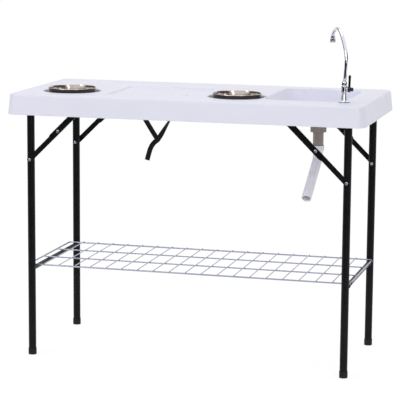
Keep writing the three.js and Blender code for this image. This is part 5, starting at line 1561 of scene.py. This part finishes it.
def valve():
    """The upright barrel and the boss at its side."""
    barrel = outline(
        (0, 31.3), (9.2, 31.3, 0.3), (10.6, 34.1, 1.2), (10.6, 36.2, 0.2), (10.2, 36.6, 0.2),
        (10.2, 52.0, 0.2), (10.6, 52.4, 0.2), (10.6, 54.5, 1.2), (9.2, 57.3, 0.3), (0, 57.3),
        steps=4,
    )
    boss = outline(
        (0, 0), (8, 0), (8, 8.6, 0.4), (7.6, 9.2, 0.2), (7.6, 10.2, 0.2), (8, 10.6, 0.3),
        (8, 12, 0.3), (0, 12),
    )
    skin = Skin()
    skin.turned(barrel, ROUND, faucet_place)
    skin.turned(boss, ROUND, handle_place)
    dress(skin.make("faucet valve"), "top", "faucet_chrome", "faucet_body")


def collar():
    """The knurled nut that holds the gooseneck."""
    profile = outline((6.5, 57.6), (8.7, 57.6, 0.3), (8.8, 58.0), (8.6, 58.3))
    profile += millimetres((8.6, 58.2, 0.4), (8.6, 65.6, 0.4))
    profile += outline((8.6, 65.8), (9, 66.2, 0.2), (9, 66.9, 0.6), (7.8, 70.6, 0.5), (6.5, 70.6), steps=4)
    made = turned_piece("faucet collar nut", profile, faucet_place, 120, ribbed(COLLAR_RIBS), True)
    dress(made, "top", "faucet_chrome", "faucet_collar", sharp=60)


def spout_run():
    """The gooseneck's middle line in its own upright plane."""
    points = [
        Vector((SPOUT_LEAN * lean + SPOUT_REACH * out, 0, COLLAR_FOOT + SPOUT_RISE * up))
        for lean, out, up in SPOUT_SHARES
    ]
    end = Vector((SPOUT_REACH, 0, COLLAR_FOOT + SPOUT_RISE - SPOUT_DROP))
    points.insert(0, Vector((0, 0, COLLAR_FOOT + COLLAR_HEIGHT + SPOUT_RADIUS / 2)))
    points.append(end + Z * SPOUT_RADIUS / 2)
    return [Vector((0, 0, COLLAR_FOOT)), *smooth_run(points, 10), end]


def gooseneck():
    """The bent tube. Returns the place of its mouth."""
    run = spout_run()
    places = frames_along(run, start=Y)
    skin = Skin()
    skin.closed_loft([[spout_place @ p for p in ring_at(at, SPOUT_RADIUS, 40)] for at in places])
    dress(skin.make("faucet gooseneck"), "spout", "faucet_chrome", "faucet_spout", sharp=60)
    return spout_place @ Matrix.Translation(run[-1])


def aerator(tip):
    """The ribbed nozzle on the gooseneck's mouth, and the wire screen inside it."""
    profile = outline(
        (0, -19), (7.2, -19), (7.2, -24, 0.3), (9.6, -24, 0.5), (10.2, -22.1, 0.6), (10.2, -20.6, 0.2),
    )
    profile += millimetres((9.9, -20.3, 0.3), (9.9, -12.5, 0.3))
    profile += outline(
        (10.2, -12.2), (10.2, -10.08, 0.7), (8.4, -8.9, 0.5), (8.4, -1.74, 0.6),
        (7.56, -0.3, 0.4), (0, -0.3),
    )
    made = turned_piece("faucet aerator body", profile, tip, 96, ribbed(AERATOR_RIBS))
    dress(made, "spout", "faucet_chrome", "faucet_aerator", sharp=60)
    screen = Skin()
    for i in range(-5, 6):
        across = i * SCREEN_PITCH
        half = math.sqrt(SCREEN_REACH**2 - across**2)
        for level, turned_over in zip(SCREEN_LEVELS, (False, True)):
            ends = [(-half, across), (half, across)]
            if turned_over:
                ends = [(y, x) for x, y in ends]
            wire(screen, [tip @ Vector((*end, level)) for end in ends], SCREEN_WIRE, 6)
    dress(screen.make("aerator screen"), "spout", "faucet_chrome")


def lever():
    """The handle: a hub with a blade that is slimmer in the middle, and the cap on the hub."""
    hub = outline(
        (0, 12.3), (8.7, 12.3, 0.4), (9.8, 13.4, 0.5), (9.8, 20.4, 0.8), (8.3, 21.8, 0.4),
        (0, 21.8), steps=4,
    )
    rings = []
    for up, girth, lean in LEVER_SHARES:
        wide = between(*LEVER_WIDTHS, up) * girth
        thick = LEVER_THICKNESS * girth
        middle = LEVER_FOOT + LEVER_LEAN * lean
        area = Area(middle - thick / 2, middle + thick / 2, -wide / 2, wide / 2, thick * 0.16)
        rings.append([boss_place @ p for p in rim(area, LEVER_HEIGHT * up, 0, 6)])
    skin = Skin()
    skin.turned(hub, ROUND, handle_place)
    skin.closed_loft(rings)
    made = skin.make("faucet handle")
    dress(made, "lever", "faucet_chrome", "faucet_lever", sharp=60, finish=handle_finish)
    cap = outline(
        (0, 22.1), (5.4, 22.1, 0.2), (6.8, 24.3, 0.6), (6.8, 28.4, 1.2), (4.4, 31.1, 1.2),
        (0, 31.1), steps=5,
    )
    made = turned_piece("handle cap", cap, handle_place)
    dress(made, "lever", "faucet_chrome", "lever_cap", sharp=60, finish=handle_finish)


def lock_nut():
    low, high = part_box("faucet_nut")
    hexagon = [(*corner, 0.001) for corner in circle(NUT_REACH, segments=6)]
    skin = Skin()
    loops = [rounded(hexagon), circle(NUT_BORE)]
    skin.plate(loops, high.z - low.z, 0.0007, standing("faucet_base", low.z))
    dress(skin.make("faucet lock nut"), "top", "zinc_steel", "faucet_nut")


def hose_fitting():
    """The barbed and knurled end where a hose would go on."""
    profile = outline(
        (0, 0), (4.0, 0), (4.2, 0.6), (5.4, 0, 0.2), (6, 2.2, 0.3), (4.8, 4.8), (6, 7.2),
        (4.8, 8.4), (6, 9.9), steps=2,
    )
    profile += millimetres((8.5, 11.4, 0), (8.5, 11.8, 0.3), (8.5, 21.4, 0.3))
    profile += millimetres((8.5, 21.7), (8.2, 22), (0, 22))
    place = standing("faucet_base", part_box("hose_connector")[0].z)
    made = turned_piece("hose end fitting", profile, place, 96, ribbed(HOSE_RIBS))
    dress(made, "top", "zinc_steel", "hose_connector", sharp=50)


# Drain
CUP_RADIUS = 0.0245
GRID_LEVEL = -0.011
GRID_SHEET = 0.002
GRID_RADIUS = 0.0218
GRID_HOLES = 6
GRID_HOLE_RADIUS = 0.0034
GRID_HOLES_OUT = 0.01395
DRAIN_RIBS = 14
DRAIN_RIB = 1.9  # in millimetres, as its profile
OUTLET_RADIUS = 0.0172
OUTLET_WALL = 0.0026
OUTLET_LEAD = 0.010
OUTLET_BEND = 0.040
OUTLET_TILT = math.radians(50)
OUTLET_RUN = 0.172
OUTLET_TURN = math.radians(-93.5)
OUTLET_BEND_STEPS = 16
OUTLET_RUN_STEPS = 12
SOCKET_WALL = 0.0026
SOCKET_HEIGHT = 0.017
SOCKET_PLAY = 0.0002
TAIL_RADIUS = 0.0187
TAIL_WALL = 0.0024
TAIL_FLANGE = 0.0242
TAIL_FLANGE_HEIGHT = 0.0027
drain_place = standing("drain_strainer", SINK_FLOOR)
tail_low, tail_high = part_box("drain_tailpipe")


def rib_wave(angle):
    """1 on a rib and 0 beside it, with soft shoulders."""
    phase = (angle * DRAIN_RIBS / FULL) % 1
    edge = 0.09
    near = min(phase, 1 - phase)
    return max(0, min(1, (0.24 - near) / edge + 0.5))


def strainer():
    """The flange with its cup, the holed grid in it and the screw through the grid."""
    cup = outline(
        (22.5, -36), (24.3, -36, 0.3), (24.5, -35.6), (24.5, -2.0, 0.2), (42, -2.0, 0.3),
        (42, -1.2, 0.4), (39, 0, 1.2), (24.4, 0, 1.4), (20.7, -9, 0.8), (20.7, -9.6),
        (22.5, -11), steps=5, closed=True,
    )
    skin = Skin()
    skin.turned(cup, FINE, drain_place, closed=True)
    middles = circle(GRID_HOLES_OUT, segments=GRID_HOLES)
    holes = [circle(GRID_HOLE_RADIUS, *middle, 24) for middle in middles]
    grid_place = drain_place @ Matrix.Translation((0, 0, GRID_LEVEL))
    skin.plate([circle(GRID_RADIUS, 0, 0, ROUND), *holes], GRID_SHEET, 0.0003, grid_place, 2)
    pan_screw(skin, grid_place @ Matrix.Translation((0, 0, GRID_SHEET)), 0.0042, 0.0021)
    made = skin.make("drain flange and grid")
    dress(made, "top", "bowl_steel", "drain_strainer", sharp=40)


def gasket_and_nut():
    ring = outline(
        (24.8, -8.3, 0.5), (33, -8.3, 0.8), (33, -5.3, 0.8), (24.8, -5.3, 0.5), closed=True,
    )
    made = turned_piece("drain rubber gasket", ring, drain_place, FINE, closed=True)
    dress(made, "top", "foot_rubber", "drain_gasket")
    profile = millimetres(
        (24.8, -8.6), (26.2, -8.6), (26.6, -9), (26.6, -9.2, 0), (26.6, -10.2, DRAIN_RIB),
        (26.6, -46, DRAIN_RIB), (26.6, -46.6, DRAIN_RIB * 0.7), (26.2, -47), (19.6, -47),
        (19, -46.5), (19, -42.7), (24.8, -42.5),
    )
    made = turned_piece("ribbed drain nut", profile, drain_place, DRAIN_RIBS * 16, rib_wave, True)
    dress(made, "top", "drain_grey", "drain_nut", sharp=40)


def tailpipe():
    inner = TAIL_RADIUS - TAIL_WALL
    neck = tail_high.z - TAIL_FLANGE_HEIGHT
    shape = [(inner, tail_low.z, 0.0005), (TAIL_RADIUS, tail_low.z, 0.0005)]
    shape += [(TAIL_RADIUS, neck, 0.0004), (TAIL_FLANGE, neck, 0.0003)]
    shape += [(TAIL_FLANGE, tail_high.z, 0.0003), (inner, tail_high.z, 0.0003)]
    profile = rounded(shape, steps=3)
    made = turned_piece("drain tail tube", profile, standing("drain_strainer"), closed=True)
    dress(made, "top", "drain_grey", "drain_tailpipe")


def outlet_run(foot_level):
    """The outlet's middle line: down out of the socket, round the bend and straight on."""
    points = [Vector((0, 0, foot_level - OUTLET_LEAD * share)) for share in (0, 0.5, 1)]
    for step in range(1, OUTLET_BEND_STEPS + 1):
        angle = OUTLET_TILT * step / OUTLET_BEND_STEPS
        out = OUTLET_BEND * (1 - math.cos(angle))
        points.append(Vector((out, 0, foot_level - OUTLET_LEAD - OUTLET_BEND * math.sin(angle))))
    reach = Vector((math.sin(OUTLET_TILT), 0, -math.cos(OUTLET_TILT))) * OUTLET_RUN
    last = points[-1]
    steps = OUTLET_RUN_STEPS
    return points + [last + reach * i / steps for i in range(1, steps + 1)]


def outlet():
    """The outlet: a socket with a rolled lip, a bend, a straight run and a rounded open mouth."""
    floor = tail_low.z - SEAT
    foot_level = floor - SOCKET_WALL
    bore = TAIL_RADIUS + SEAT + SOCKET_PLAY
    top = foot_level + SOCKET_HEIGHT
    inner = OUTLET_RADIUS - OUTLET_WALL
    lip = bore + SOCKET_WALL
    places = frames_along(outlet_run(foot_level), start=Y)
    rings = []

    def level_rings(*sizes):
        for radius, height in sizes:
            rings.append(ring_at((Vector((0, 0, height)), *places[0][1:]), radius, ROUND))

    level_rings((bore, top), (bore, floor), (inner, floor))
    rings += [ring_at(at, inner, ROUND) for at in places[1:-1]]
    mouth, ahead = places[-1][:2]
    edge = OUTLET_WALL / 2
    for step in range(7):
        turn = math.pi * step / 6
        at = (mouth + ahead * edge * (math.sin(turn) - 1), *places[-1][1:])
        rings.append(ring_at(at, inner + edge * (1 - math.cos(turn)), ROUND))
    rings += [ring_at(at, OUTLET_RADIUS, ROUND) for at in reversed(places[1:-1])]
    level_rings(
        (OUTLET_RADIUS, foot_level - OUTLET_LEAD * 0.45),
        (between(OUTLET_RADIUS, lip, 0.35), foot_level - OUTLET_LEAD * 0.28),
        (lip - 0.0006, foot_level - 0.0002), (lip - 0.0002, foot_level + 0.0004),
        (lip - 0.0002, top - 0.005), (lip, top - 0.0045), (lip, top - 0.0008),
        (lip - 0.0006, top), (bore + 0.0004, top),
    )
    skin = Skin()
    skin.bands(rings, True)
    made = skin.make("drain outlet pipe")
    made.data.transform(standing("drain_strainer") @ Matrix.Rotation(OUTLET_TURN, 4, "Z"))
    dress(made, "outlet", "drain_white", "drain_outlet", sharp=50)


# Strap
STRAP_WIDTH = 0.018
STRAP_THICKNESS = 0.0016
STRAP_LAP = STRAP_THICKNESS + SEAT
STAPLE_SHEET = 0.002
STAPLE_DEPTH = 0.006
STAPLE_BEND = 0.0016
WEAVE_PITCH = 0.0016
WEAVE_CHEVRON = 0.0045
WARP_PITCH = 0.0011
STRAP_MEET_X = -0.168
STRAP_MEET_DROP = 0.164
TAIL_REACH = 0.039
TAIL_DROP = 0.075
LAP_LENGTH = 7
LAP_FALL = 1.47
LAP_HALF_FALL = 0.63
STITCH = 0.0024
STITCH_PART = (0.12, 0.88)
THREAD = 0.0004
RUN_STEPS = 8
STITCHED_FROM = 6
STITCHED_STEPS = 20
# An arm's shares from its staple to the meeting point: along X, down, to the front, heading
RIGHT_ARM_SHARES = (
    (0.141, 0.101, 0, 88), (0.25, 0.224, 0.1, 80), (0.38, 0.373, 0.3, 68), (0.52, 0.535, 0.5, 54),
    (0.652, 0.67, 0.8, 38), (0.765, 0.785, 1, 20), (0.855, 0.872, 1, 5), (0.93, 0.94, 1, 0),
    (1, 1, 1, 0),
)
LEFT_ARM_SHARES = (
    (0.13, 0.138), (0.22, 0.237), (0.35, 0.36), (0.48, 0.483), (0.6, 0.606), (0.72, 0.729),
    (0.83, 0.838), (0.93, 0.935), (1.01, 1.013),
)
TAIL_SHARES = (
    (0.31, 0.133, 0), (0.545, 0.293, -4), (0.727, 0.493, -6), (0.857, 0.72, -5), (1, 1, -3),
)
staple_right = middle_of("strap_staple_right")
staple_left = middle_of("strap_staple_left")
STAPLE_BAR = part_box("strap_staple_left")[0].z + STAPLE_SHEET / 2
MEET_Z = UNDERSIDE - STRAP_MEET_DROP


def over_bar():
    """The webbing's way over a staple's bar, as (out, up) from the bar's middle."""
    out = STAPLE_DEPTH / 2 + STRAP_LAP
    up = STAPLE_SHEET / 2 + STRAP_LAP
    shoulder = out * 0.75
    return (
        (shoulder, -up), (out, 0), (shoulder, up * 0.8), (0, up), (-shoulder, up * 0.8), (-out, 0),
    )


def arm_spot(staple_x, along, front, down):
    """A point between a staple and the meeting point, by its shares along and down."""
    x = between(staple_x, STRAP_MEET_X, along)
    return x, STRAP_LAP * -front, between(STAPLE_BAR, MEET_Z, down)


def long_route():
    """Points and headings of the long strap: its lap, the bar, the right arm and the tail."""
    lap = STRAP_LAP * LAP_LENGTH
    x = staple_right.x
    head = [((x - lap, 0, STAPLE_BAR - lap * LAP_FALL), 90)]
    head.append(((x - lap / 2, 0, STAPLE_BAR - lap * LAP_HALF_FALL), 90))
    head += [((x + out, 0, STAPLE_BAR + up), 90) for out, up in over_bar()]
    free = []
    for along, down, front, turn in RIGHT_ARM_SHARES:
        free.append((arm_spot(x, along, front, down), turn))
    for along, down, turn in TAIL_SHARES:
        spot = (STRAP_MEET_X - TAIL_REACH * along, -STRAP_LAP, MEET_Z - TAIL_DROP * down)
        free.append((spot, turn))
    return head, free


def short_route():
    """Points and headings of the short strap: its lap, the bar and the left arm."""
    x = staple_left.x
    head = [(arm_spot(x, 0.125, -1, 0.135), 0), (arm_spot(x, 0.06, -1.3, 0.07), 0)]
    head += [((x, out, STAPLE_BAR + up), 0) for out, up in over_bar()]
    head.append((arm_spot(x, 0.06, 0.7, 0.07), 0))
    free = [(arm_spot(x, along, 0, down), 0) for along, down in LEFT_ARM_SHARES]
    return head, free


def mesh_key(point):
    """A point as a key that survives the mesh's single precision."""
    return tuple(round(value, 6) for value in point)


def webbing(name, node, head, free):
    """A strap along a route, with its weave mapped along and across it."""
    route = head + free
    run = smooth_run([Vector(spot) for spot, _ in route], RUN_STEPS)
    turns = []
    for (_, start), (_, end) in zip(route, route[1:]):
        turns += [between(start, end, step / RUN_STEPS) for step in range(RUN_STEPS)]
    turns.append(route[-1][1])
    half = STRAP_WIDTH / 2
    thick = STRAP_THICKNESS / 2
    corners = ((-half, -thick), (half, -thick), (half, thick), (-half, thick))
    section = rounded([(*corner, thick * 0.8) for corner in corners], steps=4)
    travelled = [0.0]
    for before, after in zip(run, run[1:]):
        travelled.append(travelled[-1] + (after - before).length)
    rings = []
    for i, point in enumerate(run):
        along = tangent(run, i)
        turn = math.radians(turns[i])
        wide = Vector((math.cos(turn), -math.sin(turn), 0))
        wide = (wide - along * wide.dot(along)).normalized()
        through = along.cross(wide)
        rings.append([point + wide * across + through * up for across, up in section])
    skin = Skin()
    skin.closed_loft(rings)
    made = skin.make(name)
    # the flat map: how far along the strap and how far across it each corner lies
    flat = {}
    for distance, ring in zip(travelled, rings):
        for point, (across, _) in zip(ring, section):
            flat[mesh_key(point)] = (distance, across + half)
    layer = made.data.uv_layers.new(name="weave")
    for loop in made.data.loops:
        key = mesh_key(made.data.vertices[loop.vertex_index].co)
        layer.data[loop.index].uv = flat.get(key, (0.0, half))
    dress(made, "top", "webbing", node, sharp=60)
    return made, run, rings


def stitches(skin, rings, first, last, lift):
    """A sewn box with a cross: short threads laid on a strap between two of its rings."""
    far_side = len(rings[0]) // 2 - 1

    def spot(along, across):
        index = along * (last - first) + first
        ring = rings[min(int(index), len(rings) - 2)]
        after = rings[min(int(index) + 1, len(rings) - 1)]
        share = index - int(index)
        left = between(ring[0], after[0], share)
        right = between(ring[far_side], after[far_side], share)
        return between(left, right, 0.5 + across * 0.42)

    lines = [
        ((0, -1), (0, 1)), ((1, -1), (1, 1)), ((0, -1), (1, -1)), ((0, 1), (1, 1)),
        ((0, -1), (1, 1)), ((0, 1), (1, -1)),
    ]
    for start, end in lines:
        a, b = Vector((*start, 0)), Vector((*end, 0))
        length = (spot(*end) - spot(*start)).length
        count = max(2, int(length / STITCH))
        for i in range(count):
            ends = [spot(*(a + (b - a) * (i + part) / count).xy) + lift for part in STITCH_PART]
            wire(skin, ends, THREAD, 6, edge=0.5)


def staple(side):
    """A bent steel loop fixed up under the slab."""
    node = f"strap_staple_{side}"
    low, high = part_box(node)
    width, breadth, height = high - low
    along_x = width > breadth
    half = max(width, breadth) / 2
    depth = min(width, breadth)
    loops = []
    for drawn, low_round, high_round in ((0, 0.0004, STAPLE_BEND), (STAPLE_SHEET, 0.0006, 0.0006)):
        side_x, bottom, top = half - drawn, drawn, height - drawn
        loops.append(rounded([
            (-side_x, bottom, low_round), (side_x, bottom, low_round),
            (side_x, top, high_round), (-side_x, top, high_round),
        ]))
    x_axis, z_axis = (X, -Y) if along_x else (Y, X)
    level = low.z if z_axis.cross(x_axis).z > 0 else high.z
    base = Vector((*middle_of(node).xy, level)) - z_axis * depth / 2
    skin = Skin()
    skin.plate(loops, depth, 0.0004, held(base, x_axis, z_axis))
    dress(skin.make(f"{side} strap staple"), "top", "zinc_steel", node)


def strap():
    """The long strap hangs from the right staple with its tail, and the short one meets it."""
    head, free = long_route()
    long_strap, run, rings = webbing("long strap webbing", "strap_long", head, free)
    sewn = Skin()
    join = (len(head) + STITCHED_FROM) * RUN_STEPS
    stitches(sewn, rings, join, join + STITCHED_STEPS, Vector((0, -STRAP_THICKNESS * 0.5, 0)))
    dress(sewn.make("strap stitching"), "top", "webbing", finish=thread_finish)
    head, free = short_route()
    short_strap, run, rings = webbing("short strap webbing", "strap_short", head, free)


# Everything together
make_camera()
# The finish of each slot, and the two that differ from their slot's
finishes = {
    "webbing": woven(),
    "top_plastic": top_plastic(),
    "black_steel": powder_coat(),
    "zinc_steel": zinc_plate(),
    "bowl_steel": spun_steel(),
    "faucet_chrome": chrome_plate("faucet chrome", "e6e9f0", "d9dce4"),
    # The drain's grey-brown plastic, darkened further as painted shade from under the top
    "drain_grey": drain_plastic("drain grey with painted shade", "968a84", "8a7e78"),
    # The outlet's white plastic, made lighter than its own white as painted light, standing in for light
    # it gets too little of under the top
    "drain_white": drain_plastic("drain white with painted light", "f1eff6", "e7e4ed"),
    "foot_rubber": moulded_black("foot rubber", 0.7, "141416", "0c0c0e", 700),
    "clip_plastic": moulded_black("clip plastic", 0.45, "17171a", "101012", 1100),
}
handle_finish = chrome_plate("handle chrome", "4b4b52", "3a3a40")
thread_finish = moulded_black("thread", 0.6, "1c1c20", "141417", 2200)

strap()
make_world()
make_floor()
make_lamps()
table_top()
for bowl_name in ("bowl_left", "bowl_right"):
    bowl(bowl_name)
for side_name, inward in SIDES:
    cross_tube(side_name, f"{side_name}_top_tube")
    cross_tube(side_name, f"{side_name}_shelf_bar")
    staple(side_name)
    for row_name, outward in ROWS:
        leg(side_name, row_name)
        foot(side_name, row_name)
        pivot_pin(side_name, row_name, outward)
        leg_rivet(side_name, row_name, outward)
        brace(side_name, row_name, inward, outward)
for row_name, outward in ROWS:
    rail(row_name, outward)
    shelf_clip(row_name)
wire_shelf()
pedestal()
valve()
collar()
spout_mouth = gooseneck()
aerator(spout_mouth)
lever()
lock_nut()
hose_fitting()
strainer()
gasket_and_nut()
tailpipe()
outlet()

bpy.context.scene.view_settings.view_transform = "Standard"
